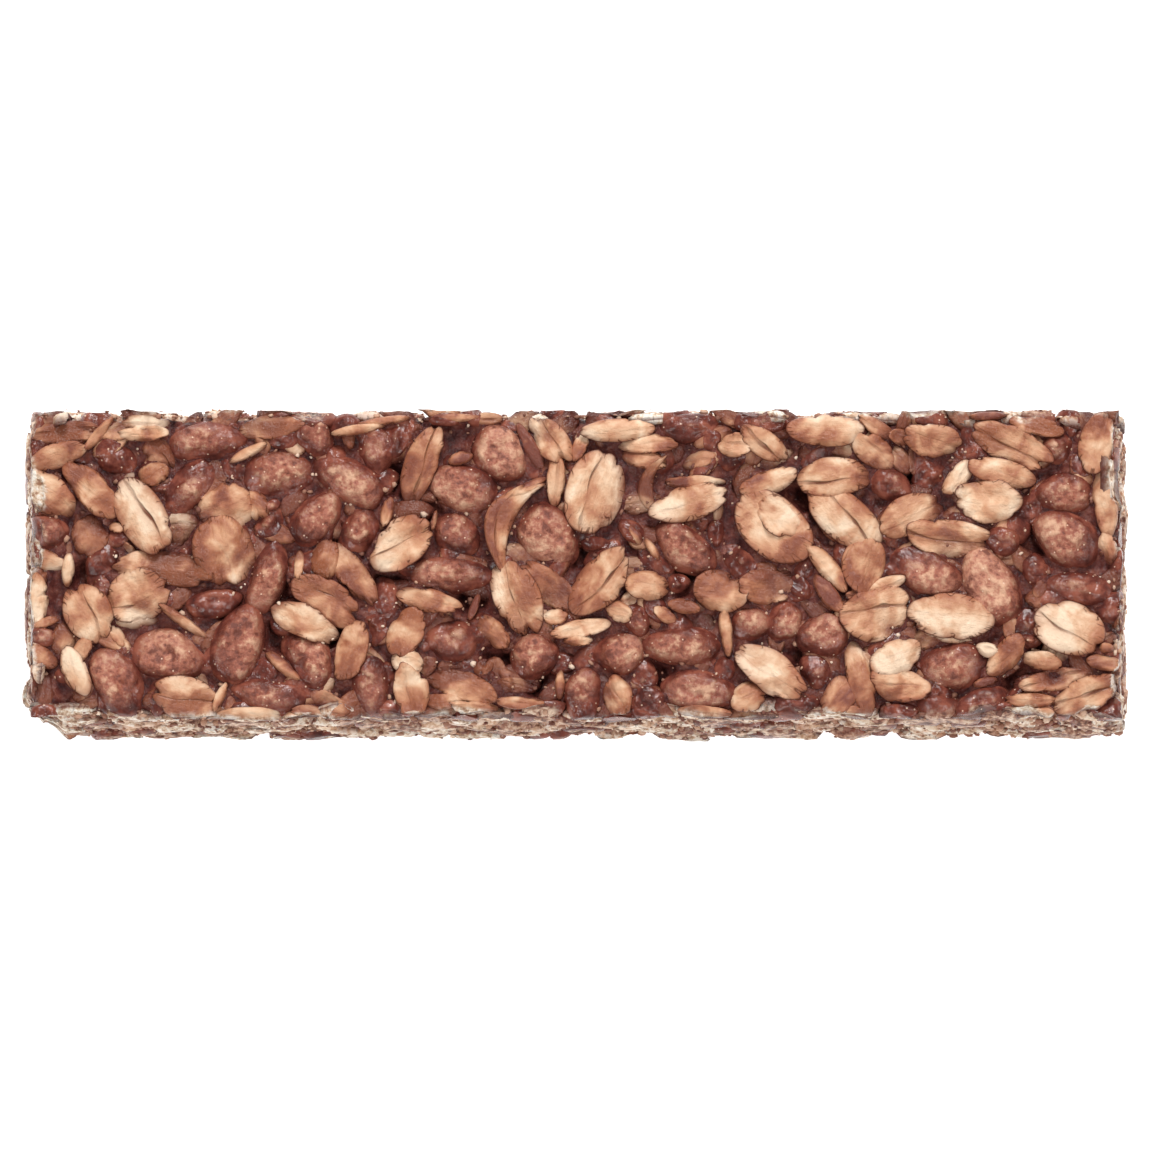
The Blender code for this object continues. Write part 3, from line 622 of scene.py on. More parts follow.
# x, y, length and width in mm, turn in degrees, depth of the highest point under the top in mm,
# and colour from 0 (sugary, light) to 10 (glazed, dark)
placed_crisps = (
    (-46.2, 10.8, 4.2, 3.2, -30, 0.8, 8), (-36.8, 12.3, 7.3, 3.9, 5, 0.3, 5),
    (-38.8, 7.8, 6.2, 3.8, 48, 0.3, 5), (-53.2, 3.3, 4.6, 3.2, 0, 0.3, 5),
    (-47.4, 0.4, 3.6, 2.8, 60, 0.8, 8), (-53.6, -7.4, 2.8, 1.9, 0, 0.5, 5),
    (-45.8, -11.9, 6.8, 4.6, -70, 0.1, 4), (-40.8, -9.2, 6.7, 5.1, -12, 0.0, 2),
    (-29.5, 12.5, 2.8, 1.6, 0, 0.8, 8), (-29.8, 9.0, 6.7, 4.8, 8, 0.1, 4),
    (-26.2, 12.9, 4.0, 3.4, -60, 0.3, 5), (-22.6, 8.4, 6.9, 4.2, -30, 0.1, 4),
    (-20.1, 11.3, 4.5, 3.6, 75, 0.5, 5), (-26.1, 4.6, 5.8, 4.0, 50, 0.2, 4),
    (-21.7, 3.2, 4.8, 3.6, 65, 0.4, 5), (-30.8, 4.0, 3.4, 2.5, 45, 0.6, 6),
    (-30.4, 5.9, 1.5, 1.0, 20, 0.4, 5), (-30.9, -1.4, 6.9, 3.6, 72, 0.2, 4),
    (-33.8, -8.2, 7.3, 4.8, 68, 0.1, 4), (-26.8, -9.4, 6.4, 4.0, -58, 0.2, 4),
    (-30.7, -13.2, 6.8, 3.2, -8, 0.4, 5), (-36.3, -3.9, 5.4, 2.6, 12, 0.8, 7),
    (-20.6, -12.0, 5.8, 3.4, -80, 0.3, 5), (-18.0, 12.7, 4.2, 2.8, 70, 0.7, 8),
    (-7.7, 11.2, 5.8, 4.6, -60, 0.1, 2), (-11.2, 7.6, 7.0, 4.3, -18, 0.0, 3),
    (-12.0, 3.1, 5.0, 3.6, -38, 0.4, 5), (-2.8, 2.9, 6.5, 4.9, -45, 0.0, 3),
    (-12.6, -1.1, 7.3, 3.4, 0, 0.2, 4), (-19.2, -3.2, 4.0, 2.6, 90, 0.9, 8),
    (-12.4, -7.7, 5.0, 4.0, -10, 0.4, 5), (-4.2, -9.3, 4.5, 4.2, 0, 0.1, 4),
    (-19.9, -6.6, 3.2, 2.2, 75, 1.3, 8), (11.3, 13.8, 5.4, 2.7, 3, 0.3, 8),
    (10.9, 1.6, 6.4, 4.0, -38, 0.2, 4), (2.0, 2.1, 2.8, 1.3, 0, 0.9, 8),
    (4.3, -9.0, 4.7, 4.2, 0, 0.1, 3),
    (10.7, -8.3, 7.1, 3.6, -4, 0.2, 4), (6.0, -5.6, 3.4, 2.2, -60, 0.5, 6),
    (10.2, -1.9, 2.2, 1.7, 30, 0.9, 8), (0.7, -13.2, 5.2, 3.2, 88, 0.3, 5),
    (7.3, -13.6, 3.2, 2.4, 0, 0.8, 8), (12.2, -12.7, 7.2, 3.5, -3, 0.2, 4),
    (18.4, 14.3, 5.0, 2.2, 0, 0.4, 8), (13.6, 12.5, 2.2, 1.6, 60, 0.8, 7),
    (31.6, 7.9, 4.0, 3.0, -35, 0.4, 7), (16.4, 0.2, 4.0, 3.2, -60, 0.5, 8),
    (14.0, 3.2, 2.6, 1.6, 80, 1.2, 9), (17.3, -6.1, 4.0, 3.6, 0, 0.3, 4),
    (20.8, -5.7, 4.0, 3.2, 80, 0.5, 4), (24.7, -7.2, 5.0, 4.0, 20, 0.3, 4),
    (22.3, -2.3, 2.6, 1.8, -40, 0.8, 7), (23.9, -10.8, 3.6, 2.8, -50, 0.7, 6),
    (22.0, -14.0, 4.2, 2.2, 0, 0.7, 9), (35.5, 9.0, 3.6, 2.6, 20, 1.0, 8),
    (42.7, 2.3, 3.1, 2.8, 0, 0.4, 6),
    (45.6, 6.0, 3.2, 2.4, 60, 1.1, 8), (35.1, -0.7, 6.8, 4.2, -22, 0.2, 4),
    (41.5, -2.4, 7.4, 5.0, -62, 0.0, 2), (46.3, -0.5, 2.4, 1.6, 0, 1.2, 9),
    (48.2, 11.8, 3.0, 2.8, 0, 0.4, 5), (49.0, 7.1, 5.3, 3.8, -8, 0.1, 4),
    (49.2, 2.6, 6.2, 5.0, -35, 0.0, 4), (50.4, -2.4, 6.2, 3.0, -10, 0.3, 7),
    (37.7, -10.2, 6.0, 4.6, 10, 0.1, 4), (40.5, -14.2, 5.0, 3.2, 25, 0.3, 6),
    (36.0, -13.2, 2.8, 1.9, 0, 0.8, 7), (32.5, -14.8, 3.2, 1.6, 0, 0.9, 7),
    (45.5, -7.8, 1.8, 1.2, 0, 0.7, 5),
)

crisp_body = polar_body(12, 40)
crisps = Heap()
crisp_spacing_x, crisp_spacing_y = 4.6, 4.7
for column in range(24):
    for row in range(7):
        x = -52.5 + crisp_spacing_x * column + draw.uniform(-2, 2)
        y = -14 + crisp_spacing_y * row + draw.uniform(-2, 2)
        length = draw.uniform(3.0, 5.0)
        grain = Crisp(length, length * draw.uniform(0.6, 0.8))
        if not near_gap(x, y):
            depth, glaze = draw.uniform(0.75, 1.4), draw.uniform(0.5, 1.2)
            turn = draw.uniform(0, 180)
            lay(crisps, upper_face, small_body, grain, x, y, turn, depth, 7, glaze=glaze)
crisp_swell = 1.13  # the shell's foot spreads under its neighbours, past the outline that shows
for x, y, length, width, turn, depth, tone in sorted(placed_crisps, key=lambda row: -row[5]):
    grain = Crisp(length * crisp_swell, width * crisp_swell)
    glaze = max(0, tone - 6) / 4
    lay(crisps, upper_face, crisp_body, grain, x, y, turn, depth, tone, 0.1, glaze=glaze)

# Cocoa crisp: a matt brown shell, crusted with light sugar grains. Its colour follows its relief a
# little, as painted light on the lumps and painted shade in the pits. The pits and the foot of the
# grain hold dark, smoother syrup.
cocoa_crisp = new_material("cocoa_crisp")
tone, sunk, edge, pits, glaze, cut = (
    add_node(cocoa_crisp, "Attribute", {"attribute_name": name})
    for name in ("tone", "sunk", "edge", "pits", "glaze", "cut")
)
where = add_node(cocoa_crisp, "TexCoord")
skin = add_node(cocoa_crisp, "ValToRGB", sockets={"Fac": (tone, "Fac")})
fill_ramp(skin, ((0.0, "#bf8067"), (0.35, "#a7624c"), (0.6, "#904d3a"), (1.0, "#6d362a")))
sugar = add_node(cocoa_crisp, "TexNoise", sockets={
    "Vector": (where, "Object"), "Scale": 1300.0, "Detail": 5.0, "Roughness": 0.6,
})
patch = add_node(cocoa_crisp, "TexNoise", sockets={
    "Vector": (where, "Object"), "Scale": 520.0, "Detail": 4.0, "Roughness": 0.6,
})
# The shell's own relief, lifted a little into the colour: painted light on the lumps, painted shade
# in the pits
speckle = add_node(cocoa_crisp, "Math", {"operation": "MULTIPLY_ADD"}, {
    0: (pits, "Fac"), 1: 0.07, 2: (sugar, "Fac"),
})
uneven_speckle = add_node(cocoa_crisp, "Math", {"operation": "MULTIPLY_ADD"}, {
    0: (patch, "Fac"), 1: 0.9, 2: (speckle, 0),
})
sugar_and_painted_light = add_node(cocoa_crisp, "MapRange", sockets={
    "Value": (uneven_speckle, 0), "From Min": 0.94, "From Max": 1.16, "To Max": 0.85,
})
pits_and_painted_shade = add_node(cocoa_crisp, "MapRange", sockets={
    "Value": (uneven_speckle, 0), "From Min": 0.92, "From Max": 0.76, "To Max": 0.8,
})
foam = add_node(cocoa_crisp, "ValToRGB", sockets={"Fac": (sugar, "Fac")})
fill_ramp(foam, ((0.4, "#5f3829"), (0.5, "#ae7f65"), (0.6, "#e0c3aa")))
foot = add_node(cocoa_crisp, "Math", {"operation": "MULTIPLY_ADD"}, {
    0: (edge, "Fac"), 1: 1.3, 2: (sunk, "Fac"),
})
glazed_foot = add_node(cocoa_crisp, "Math", {"operation": "MULTIPLY_ADD"}, {
    0: (tone, "Fac"), 1: 2.6, 2: (foot, 0),
})
ragged_foot = add_node(cocoa_crisp, "Math", {"operation": "MULTIPLY_ADD"}, {
    0: (patch, "Fac"), 1: 3.0, 2: (glazed_foot, 0),
})
soaked = add_node(cocoa_crisp, "MapRange", sockets={
    "Value": (ragged_foot, 0), "From Min": 3.5, "From Max": 4.6, "To Max": 0.97,
})
film = add_node(cocoa_crisp, "Math", {"operation": "MULTIPLY"}, {0: (glaze, "Fac"), 1: 0.75})
coat = add_node(cocoa_crisp, "Math", {"operation": "MAXIMUM"}, {0: (soaked, 0), 1: (film, 0)})
syrup_skin = add_node(cocoa_crisp, "ValToRGB", sockets={"Fac": (patch, "Fac")})
fill_ramp(syrup_skin, ((0.36, "#47211d"), (0.5, "#6c342a"), (0.64, "#91503f")))
specks = add_node(cocoa_crisp, "TexVoronoi", sockets={
    "Vector": (where, "Object"), "Scale": 1100.0,
})
# Pale specks: single sugar grains, and painted glints on the glaze
sugar_speck_and_glint = add_node(cocoa_crisp, "MapRange", sockets={
    "Value": (specks, "Distance"), "From Min": 0.12, "From Max": 0.07, "To Max": 0.85,
})
# From the shell up: sugar with painted light, pits with painted shade, knife cut, syrup, and pale
# specks for single grains of sugar and painted glints
crisp_colour = (skin, "Color")
for share, colour in (
    # sugar, with painted light on the lumps
    ((sugar_and_painted_light, 0), linear("#e4b594")),
    # pits, with painted shade
    ((pits_and_painted_shade, 0), linear("#622d22")),
    ((cut, "Fac"), (foam, "Color")),
    ((coat, 0), (syrup_skin, "Color")),
    # sugar grains and painted glints
    ((sugar_speck_and_glint, 0), linear("#f0cdb2")),
):
    crisp_colour = (add_node(cocoa_crisp, "Mix", {"data_type": "RGBA"}, {
        FACTOR: share, COLOUR_A: crisp_colour, COLOUR_B: colour,
    }), COLOUR_OUT)
# The syrup fills the grit, so the coated part is smoother
bare = add_node(cocoa_crisp, "MapRange", sockets={
    "Value": (coat, 0), "To Min": 1.0, "To Max": 0.3,
})
grit = add_node(cocoa_crisp, "Math", {"operation": "MULTIPLY"}, {0: (sugar, "Fac"), 1: (bare, 0)})
bump = add_node(cocoa_crisp, "Bump", sockets={
    "Height": (grit, 0), "Strength": 0.8, "Distance": 0.5 * MM,
})
shine = add_node(cocoa_crisp, "MapRange", sockets={
    "Value": (coat, 0), "To Min": 0.45, "To Max": 0.16,
})
finish(cocoa_crisp, crisp_colour, shine, bump, ior=1.45, specular=0.5)
crisps.fit("cocoa_crisps", cocoa_crisp)

# Rolled oats of the upper face: steamed grains rolled out to thin ovals with a lengthwise
# crease and cracked rims. They bend over the crisps under them and the syrup colours them.
# In the crisps' terms, with colour from 0 (cream) to 10 (soaked brown), and 1 for a clear crease
placed_oats = (
    (-51.0, 13.3, 6.5, 2.6, 5, 0.9, 10, 1), (-52.0, 10.9, 5.8, 2.4, 18, 0.4, 3, 0),
    (-43.3, 14.3, 5.6, 1.6, 0, 0.9, 1, 0), (-43.3, 13.2, 4.6, 1.7, 2, 0.3, 3, 0),
    (-41.8, 11.0, 4.2, 3.0, -60, 0.9, 9, 1), (-42.3, 9.0, 2.7, 2.5, 20, 0.5, 6, 0),
    (-53.2, 7.2, 6.5, 4.3, -40, 0.2, 3, 0), (-48.5, 7.4, 6.4, 3.6, -48, 0.1, 4, 0),
    (-43.4, 4.7, 7.6, 4.6, -58, 0.0, 1, 1), (-48.6, 3.0, 4.2, 3.3, 70, 0.9, 9, 0),
    (-45.9, 3.7, 1.6, 1.3, 0, 0.8, 3, 0), (-40.2, 2.7, 2.8, 2.2, 60, 1.5, 10, 0),
    (-53.0, 0.4, 3.8, 1.9, -20, 0.6, 3, 0), (-34.9, 5.6, 5.0, 5.0, 20, 0.4, 5, 0),
    (-35.3, 1.4, 6.4, 5.9, -80, 0.15, 5, 0), (-32.2, 5.9, 3.4, 2.6, -40, 0.5, 4, 0),
    (-41.2, -0.4, 9.2, 3.4, -5, 0.5, 8, 0), (-43.8, -3.3, 6.2, 5.0, 22, 0.0, 2, 1),
    (-48.8, -5.0, 6.0, 4.4, -58, 0.0, 3, 1), (-54.2, -3.6, 4.6, 3.2, 88, 0.4, 3, 0),
    (-53.0, -5.9, 2.4, 1.0, 15, 0.5, 9, 0), (-53.8, -9.2, 3.8, 2.2, -30, 0.5, 5, 0),
    (-51.2, -7.6, 3.8, 2.6, 75, 1.0, 10, 0), (-49.4, -8.7, 2.8, 1.6, 62, 0.6, 7, 0),
    (-50.0, -10.9, 4.6, 2.6, -65, 0.3, 0, 0), (-45.9, -7.2, 2.4, 1.4, -60, 0.8, 6, 0),
    (-38.8, -13.8, 6.8, 4.2, -14, 0.1, 6, 1), (-30.3, 13.9, 6.0, 2.4, 5, 0.3, 8, 0),
    (-25.2, 0.4, 4.0, 3.0, 80, 0.5, 8, 0), (-22.4, -1.0, 6.6, 3.0, -55, 0.6, 6, 0),
    (-25.0, -3.6, 7.4, 3.8, -28, 0.1, 6, 1), (-27.0, -6.0, 6.0, 3.2, -22, 0.0, 1, 0),
    (-22.4, -8.9, 6.2, 3.0, 76, 0.2, 6, 0), (-33.0, -15.2, 7.5, 1.5, 3, 0.8, 5, 0),
    (-24.8, -13.9, 4.4, 1.8, -30, 1.0, 10, 0), (-26.4, -15.0, 3.8, 1.5, -8, 0.9, 10, 0),
    (-15.4, 10.2, 7.8, 3.2, 68, 0.1, 6, 1), (-17.3, 1.9, 7.2, 4.4, 36, 0.0, 2, 1),
    (-14.7, -3.8, 5.8, 2.6, -12, 0.1, 3, 0), (-5.9, -3.7, 7.4, 4.6, -62, 0.0, 2, 1),
    (-2.8, -2.4, 6.6, 3.2, -42, 0.4, 7, 0), (-17.0, -6.9, 5.2, 3.4, 58, 0.1, 8, 0),
    (-16.8, -9.9, 3.0, 2.6, -10, 0.2, 0, 0), (-16.4, -13.0, 5.2, 3.4, -78, 0.2, 4, 0),
    (-8.2, -7.0, 4.2, 2.2, -48, 0.4, 6, 0), (-11.3, -12.4, 6.6, 3.2, -18, 0.3, 8, 0),
    (-13.3, -13.9, 3.8, 1.6, -5, 0.6, 9, 0), (-10.2, -14.6, 4.4, 1.4, -2, 0.3, 6, 0),
    (-5.6, -14.1, 4.4, 1.3, -3, 0.3, 6, 0), (-6.0, -12.2, 4.0, 1.6, -8, 1.3, 10, 0),
    (-9.3, -10.5, 2.4, 1.6, 20, 1.4, 9, 0), (-7.6, 4.7, 9.0, 2.6, 66, 0.25, 6, 1, -1.0),
    (-2.6, 12.4, 5.4, 3.0, -55, 0.1, 3, 1), (-2.0, 8.5, 5.0, 1.8, 88, 0.4, 5, 0),
    (0.4, 12.0, 3.0, 1.5, 72, 0.5, 5, 0), (4.2, 13.4, 6.6, 2.5, 3, 0.1, 2, 0),
    (7.2, 12.1, 5.4, 2.2, -2, 0.4, 3, 0), (6.8, 10.6, 4.4, 1.9, -12, 0.6, 6, 0),
    (1.9, 7.2, 8.0, 5.6, 72, 0.0, 2, 1), (11.4, 6.1, 7.2, 3.4, 12, 0.0, 1, 0),
    (12.0, 8.2, 5.4, 1.4, 0, 0.5, 5, 0), (12.2, 10.5, 3.4, 1.6, 12, 0.8, 8, 0),
    (2.4, -1.9, 7.6, 4.4, 50, 0.0, 5, 1), (7.1, -2.2, 4.2, 3.0, -6, 0.1, 3, 0),
    (4.3, -4.8, 2.8, 2.0, -30, 0.5, 6, 0), (-2.1, -5.4, 2.4, 1.6, 0, 0.7, 6, 0),
    (0.5, -6.6, 5.6, 1.9, 12, 0.3, 3, 0), (0.2, -7.8, 2.6, 1.1, 0, 0.2, 3, 0),
    (10.8, -4.3, 2.8, 1.6, -10, 0.6, 7, 0), (8.9, -5.2, 2.3, 1.5, -35, 0.5, 6, 0),
    (4.2, -13.3, 4.0, 2.8, -72, 0.3, 6, 0), (12.8, -15.0, 4.8, 1.4, -4, 0.7, 5, 0),
    (16.0, 11.9, 3.6, 2.4, 5, 0.3, 6, 0), (18.8, 12.1, 4.8, 2.8, -35, 0.2, 6, 1),
    (24.9, 13.4, 6.8, 3.4, -4, 0.0, 4, 0), (29.8, 11.4, 4.6, 3.0, -40, 0.4, 7, 0),
    (30.2, 13.7, 4.2, 1.6, -32, 0.6, 6, 0), (25.8, 8.7, 7.2, 3.8, 4, 0.0, 3, 1),
    (19.3, 8.2, 6.0, 2.2, 18, 0.3, 3, 0), (19.7, 3.6, 8.4, 5.8, -38, 0.2, 4, 0),
    (20.3, 4.6, 5.0, 3.4, -35, 0.0, 2, 0), (26.8, 4.7, 8.2, 4.6, -44, 0.1, 3, 1),
    (25.3, -0.5, 5.4, 2.0, -52, 0.1, 3, 0), (28.8, -0.1, 5.2, 4.4, 70, 0.1, 7, 0),
    (14.5, -2.9, 5.2, 3.9, -10, 0.1, 4, 0), (19.2, -2.3, 5.0, 3.8, 0, 0.1, 5, 0),
    (30.0, -2.5, 5.6, 1.8, 18, 0.5, 4, 0), (30.0, -5.0, 7.0, 5.0, 16, 0.1, 4, 1),
    (19.3, -10.7, 7.4, 4.0, -32, 0.0, 1, 0), (17.2, -13.4, 3.6, 2.9, 30, 0.3, 4, 0),
    (26.3, -13.5, 4.4, 3.2, 60, 0.5, 5, 0), (27.2, -15.0, 4.2, 1.3, 0, 0.7, 3, 0),
    (28.4, -11.4, 6.8, 2.8, -76, 0.3, 4, 0), (32.0, -9.5, 4.8, 3.6, 25, 0.1, 1, 0),
    (32.2, -12.2, 5.6, 3.4, -12, 0.2, 4, 0), (35.6, 12.4, 5.4, 3.3, -8, 0.1, 4, 0),
    (32.8, 12.8, 3.0, 1.5, -5, 0.4, 4, 0), (33.4, 4.9, 6.6, 3.6, 28, 0.2, 4, 0),
    (36.9, 2.7, 8.4, 3.6, -4, 0.1, 5, 1), (41.1, 6.2, 6.4, 4.4, -8, 0.0, 2, 0),
    (42.6, 9.1, 6.4, 2.8, -15, 0.2, 4, 0), (38.3, 8.6, 3.8, 2.2, 55, 0.3, 1, 0),
    (43.6, 12.0, 8.2, 3.6, -24, 0.3, 7, 1), (46.2, 13.9, 5.6, 1.9, -12, 0.3, 10, 0),
    (49.3, -6.5, 7.0, 5.0, -25, 0.0, 1, 1), (52.1, 12.0, 5.6, 3.6, 80, 0.2, 6, 0),
    (53.0, 6.0, 6.0, 2.4, -82, 0.4, 3, 0), (53.2, 1.6, 3.2, 1.8, -75, 0.6, 5, 0),
    (46.3, -2.6, 1.9, 1.4, 60, 0.9, 6, 0), (46.6, -9.8, 4.0, 1.7, -12, 0.3, 4, 0),
    (47.8, -11.7, 6.6, 2.2, 14, 0.3, 5, 1), (51.3, -13.1, 6.8, 3.2, 24, 0.1, 6, 1),
    (45.4, -13.8, 4.8, 1.5, 0, 0.5, 9, 0), (45.2, -15.3, 4.4, 1.7, 8, 0.5, 3, 0),
    (52.8, -10.0, 3.4, 1.6, -8, 0.4, 3, 0), (37.5, -5.4, 8.2, 4.4, -10, 0.0, 2, 0),
    (37.8, -7.0, 6.0, 2.0, -6, 0.4, 1, 0), (43.0, -9.3, 4.8, 2.6, 45, 0.2, 7, 0),
    (41.1, -8.7, 2.2, 1.5, -10, 0.2, 0, 0), (6.9, 7.6, 5.4, 1.6, 88, 0.2, 6, 0, -1.1),
)

oat_body = polar_body(10, 64)
oats = Heap()
oat_swell = 1.08
deepest_first = sorted(placed_oats, key=lambda row: -row[5])
for x, y, length, width, turn, depth, tone, crease, *curl in deepest_first:
    grain = Oat(length * oat_swell, width * oat_swell, 0.75 * crease + draw.uniform(0, 0.35))
    grain.arc = curl[0] if curl else draw.uniform(-0.12, 0.12)
    glaze = min(1, max(0, tone - 5) / 7 + draw.uniform(0, 0.25 + 0.05 * tone))
    tone = np.interp(tone, (0, 3, 4, 6, 8, 10), (0.1, 3.9, 5.4, 5.9, 6.8, 8.2))
    lay(
        oats, upper_face, oat_body, grain, x, y, turn, depth, tone,
        tilt=0.2, bend=0.05, glaze=glaze,
    )
oats.fit("rolled_oats", rolled_oat)

# Oats on edge in the upper face: rolled grains that the press caught standing, so that only a
# long narrow back shows. They are held on both sides by the syrup.
# In the crisps' terms, with the oats' colours
placed_edges = (
    (-47.8, 13.1, 4.4, 1.0, 50, 0.5, 6), (-50.8, -0.6, 3.2, 1.2, 85, 0.4, 3),
    (-39.1, -5.9, 5.5, 1.1, -33, 0.4, 3), (-32.9, 11.2, 4.0, 1.0, 25, 0.3, 1),
    (-21.9, 13.5, 5.2, 1.0, 8, 0.3, 1), (-27.7, -0.2, 3.2, 1.0, 90, 0.5, 3),
    (-29.3, -10.3, 4.6, 1.1, -42, 0.5, 5), (-35.6, -13.5, 3.2, 0.9, 65, 0.5, 3),
    (-19.4, 14.4, 5.0, 0.9, 8, 0.5, 3), (-12.4, 14.7, 6.4, 0.8, 1, 0.6, 8),
    (-11.6, 10.6, 2.5, 1.2, 15, 0.3, 6), (-4.5, 11.6, 5.4, 1.4, -62, 0.6, 10),
    (-18.9, 5.2, 2.8, 1.3, 80, 0.3, 5), (-14.2, 4.4, 2.2, 0.6, 80, 0.9, 5),
    (-4.8, 7.7, 3.8, 1.2, 28, 0.5, 6), (-10.2, -4.4, 2.8, 0.8, 70, 0.8, 10),
    (7.6, 1.5, 2.5, 0.9, -58, 0.7, 3), (6.0, 2.9, 2.2, 0.9, -60, 0.8, 5),
    (-1.6, -12.2, 2.8, 1.0, 90, 0.5, 3), (25.2, -3.0, 4.6, 1.7, -55, 0.4, 8),
    (15.0, -6.8, 4.6, 1.3, -82, 0.5, 5), (41.3, 14.9, 3.8, 0.8, 2, 0.5, 8),
    (41.0, -11.9, 2.6, 1.0, 10, 0.8, 9), (53.0, -8.5, 1.5, 1.0, 0, 0.6, 5),
)

edge_body = polar_body(7, 26)
edge_oats = Heap()
for x, y, length, width, turn, depth, tone in sorted(placed_edges, key=lambda row: -row[5]):
    grain = Oat(length * 1.05, width * 1.15, 0, 1.6)
    grain.dome = 0.2
    lay(
        edge_oats, upper_face, edge_body, grain, x, y, turn, depth, tone + 1.8,
        tilt=0.08, bend=0.02,
    )
edge_oats.fit("oats_on_edge", rolled_oat)

# Oats and crisps in the four cut faces: the knife went straight through the layers, so the oats
# show as thin pale streaks with floury cut edges and the crisps as open brown foam.
cut_oats = Heap()
cut_crisps = Heap()
cut_body = polar_body(5, 18)
layer_height = 1.6
grain_spacing = 5.6
for face in cut_faces:
    reach = -face.low[0] - face.spare
    for level in np.arange(0.9, 11.2, layer_height):
        count = round(2 * reach / grain_spacing)
        for index in range(count):
            a = (2 * (index + draw.uniform(0.1, 0.9)) / count - 1) * (reach - 1)
            b = level + draw.uniform(-0.8, 0.8)
            if draw.random() < 0.3:
                length = draw.uniform(3.0, 5.6)
                grain = Crisp(length, length * draw.uniform(0.5, 0.75))
                turn, tone = draw.uniform(-20, 20), draw.integers(3, 8)
                lay(cut_crisps, face, small_body, grain, a, b, turn, -0.25, tone, 0.1)
            else:
                length = draw.uniform(2.5, 6.5) * (1.4 if b > 9 else 1)
                grain = Oat(length, draw.uniform(0.8, 1.6) + 1.6 * draw.random() ** 3, 0, 1.2)
                grain.dome = 0.3
                turn, depth, tone = draw.normal(0, 22), draw.uniform(-0.1, 0.6), draw.integers(1, 9)
                lay(cut_oats, face, cut_body, grain, a, b, turn, depth, tone, 0.1)
cut_oats.fit("cut_oats", rolled_oat)
cut_crisps.fit("cut_crisps", cocoa_crisp)

# Oats and crisps in the underside: what met the belt was pressed flat there, so it shows as a
# level mosaic of whole ovals with syrup between.
base_oats = Heap()
base_crisps = Heap()
base_spacing_a, base_spacing_b = 5.2, 4.1
for column in range(21):
    for row in range(8):
        a = -52 + base_spacing_a * column + draw.uniform(-1.8, 1.8)
        b = -14.4 + base_spacing_b * row + draw.uniform(-1.5, 1.5)
        turn = draw.uniform(0, 180)
        if draw.random() < 0.35:
            length = draw.uniform(4.5, 6.8)
            grain = Crisp(length, length * draw.uniform(0.55, 0.72))
            tone = draw.integers(3, 9)
            lay(base_crisps, under_face, small_body, grain, a, b, turn, -0.5, tone, 0.02)
        else:
            length = draw.uniform(4.5, 7.8)
            grain = Oat(length, length * draw.uniform(0.45, 0.7), draw.uniform(0, 0.5))
            depth, tone = draw.uniform(-0.3, 0.05), draw.integers(1, 9)
            lay(base_oats, under_face, small_body, grain, a, b, turn, depth, tone, 0.02)
base_oats.fit("underside_oats", rolled_oat)
base_crisps.fit("underside_crisps", cocoa_crisp)

# Cocoa syrup with fine crumb: boiled to a stiff mass that fills the bar between the pieces. It
# sits low and glossy between them on top, and shows as dull sandy crumb where the knife cut.


def smooth(grid, reach):
    """A running mean over a map, both ways, taken twice."""
    size = 2 * round(reach / Face.step) + 1
    kernel = np.ones(size) / size
    pad = size // 2
    for _ in range(2):
        for axis in (0, 1):
            width = [(pad, pad) if k == axis else (0, 0) for k in (0, 1)]
            wide = np.pad(grid, width, mode="edge")
            grid = np.apply_along_axis(np.convolve, axis, wide, kernel, "valid")
    return grid


def syrup_level(face, share, seed, rough, ceiling):
    """The syrup's surface over a face: hollow between the pieces and just under their skins."""
    soft = smooth(np.minimum(face.height, ceiling), share)
    cells = np.indices(face.shape).reshape(2, -1).T * Face.step
    spot = np.column_stack([cells, np.zeros(len(cells))])
    grain = rough * (uneven(spot, 1.3, seed) + 0.8 * uneven(spot, 0.6, seed + 1)).reshape(face.shape)
    broad = 0.5 * rough * uneven(spot, 3.2, seed + 2).reshape(face.shape)
    return np.minimum(soft - 0.2 + grain + broad, face.height + 0.5)


syrup_maps = {}
for index, face in enumerate((upper_face,) + cut_faces):
    rough, ceiling = (0.15, -1.0) if face is upper_face else (0.3, -0.25)
    syrup_maps[face] = syrup_level(face, 0.45, 50 + 3 * index, rough, ceiling)
for gap_x, gap_y in deep_gaps:
    where, cell_a, cell_b = upper_face.window(gap_x, gap_y, 2.2)
    distance = np.hypot(cell_a - gap_x, cell_b - gap_y)
    low = syrup_maps[upper_face][where]
    syrup_maps[upper_face][where] = low - 1.3 * np.clip(1 - (distance / 2.0) ** 2, 0, 1)

syrup_step = 0.3
counts = (
    round(2 * top_half_length / syrup_step),
    round(2 * top_half_width / syrup_step),
    round(bar_height / syrup_step),
)
numbers = np.indices([n + 1 for n in counts]).reshape(3, -1).T
on_skin = ((numbers == 0) | (numbers == counts)).any(axis=1)
rim_only = (numbers[:, 2] > 0) | (numbers[:, 0] == 0) | (numbers[:, 0] == counts[0])
rim_only |= (numbers[:, 1] == 0) | (numbers[:, 1] == counts[1])
numbers = numbers[on_skin & rim_only]
u, v = (2 * numbers[:, k] / counts[k] - 1 for k in (0, 1))
w = numbers[:, 2] / counts[2]
x0, y0 = u * half_length(bar_height * w), v * half_width(bar_height * w)
from_rim = np.minimum(top_half_length - np.abs(x0), top_half_width - np.abs(y0))
rounding = 0.7 * ease_between(0.9, 0, from_rim)
z = 0.12 + w * (bar_height - 0.12 - rounding + upper_face.read(syrup_maps[upper_face], x0, y0))
right = right_face.read(syrup_maps[right_face], y0, z)
left = left_face.read(syrup_maps[left_face], -y0, z)
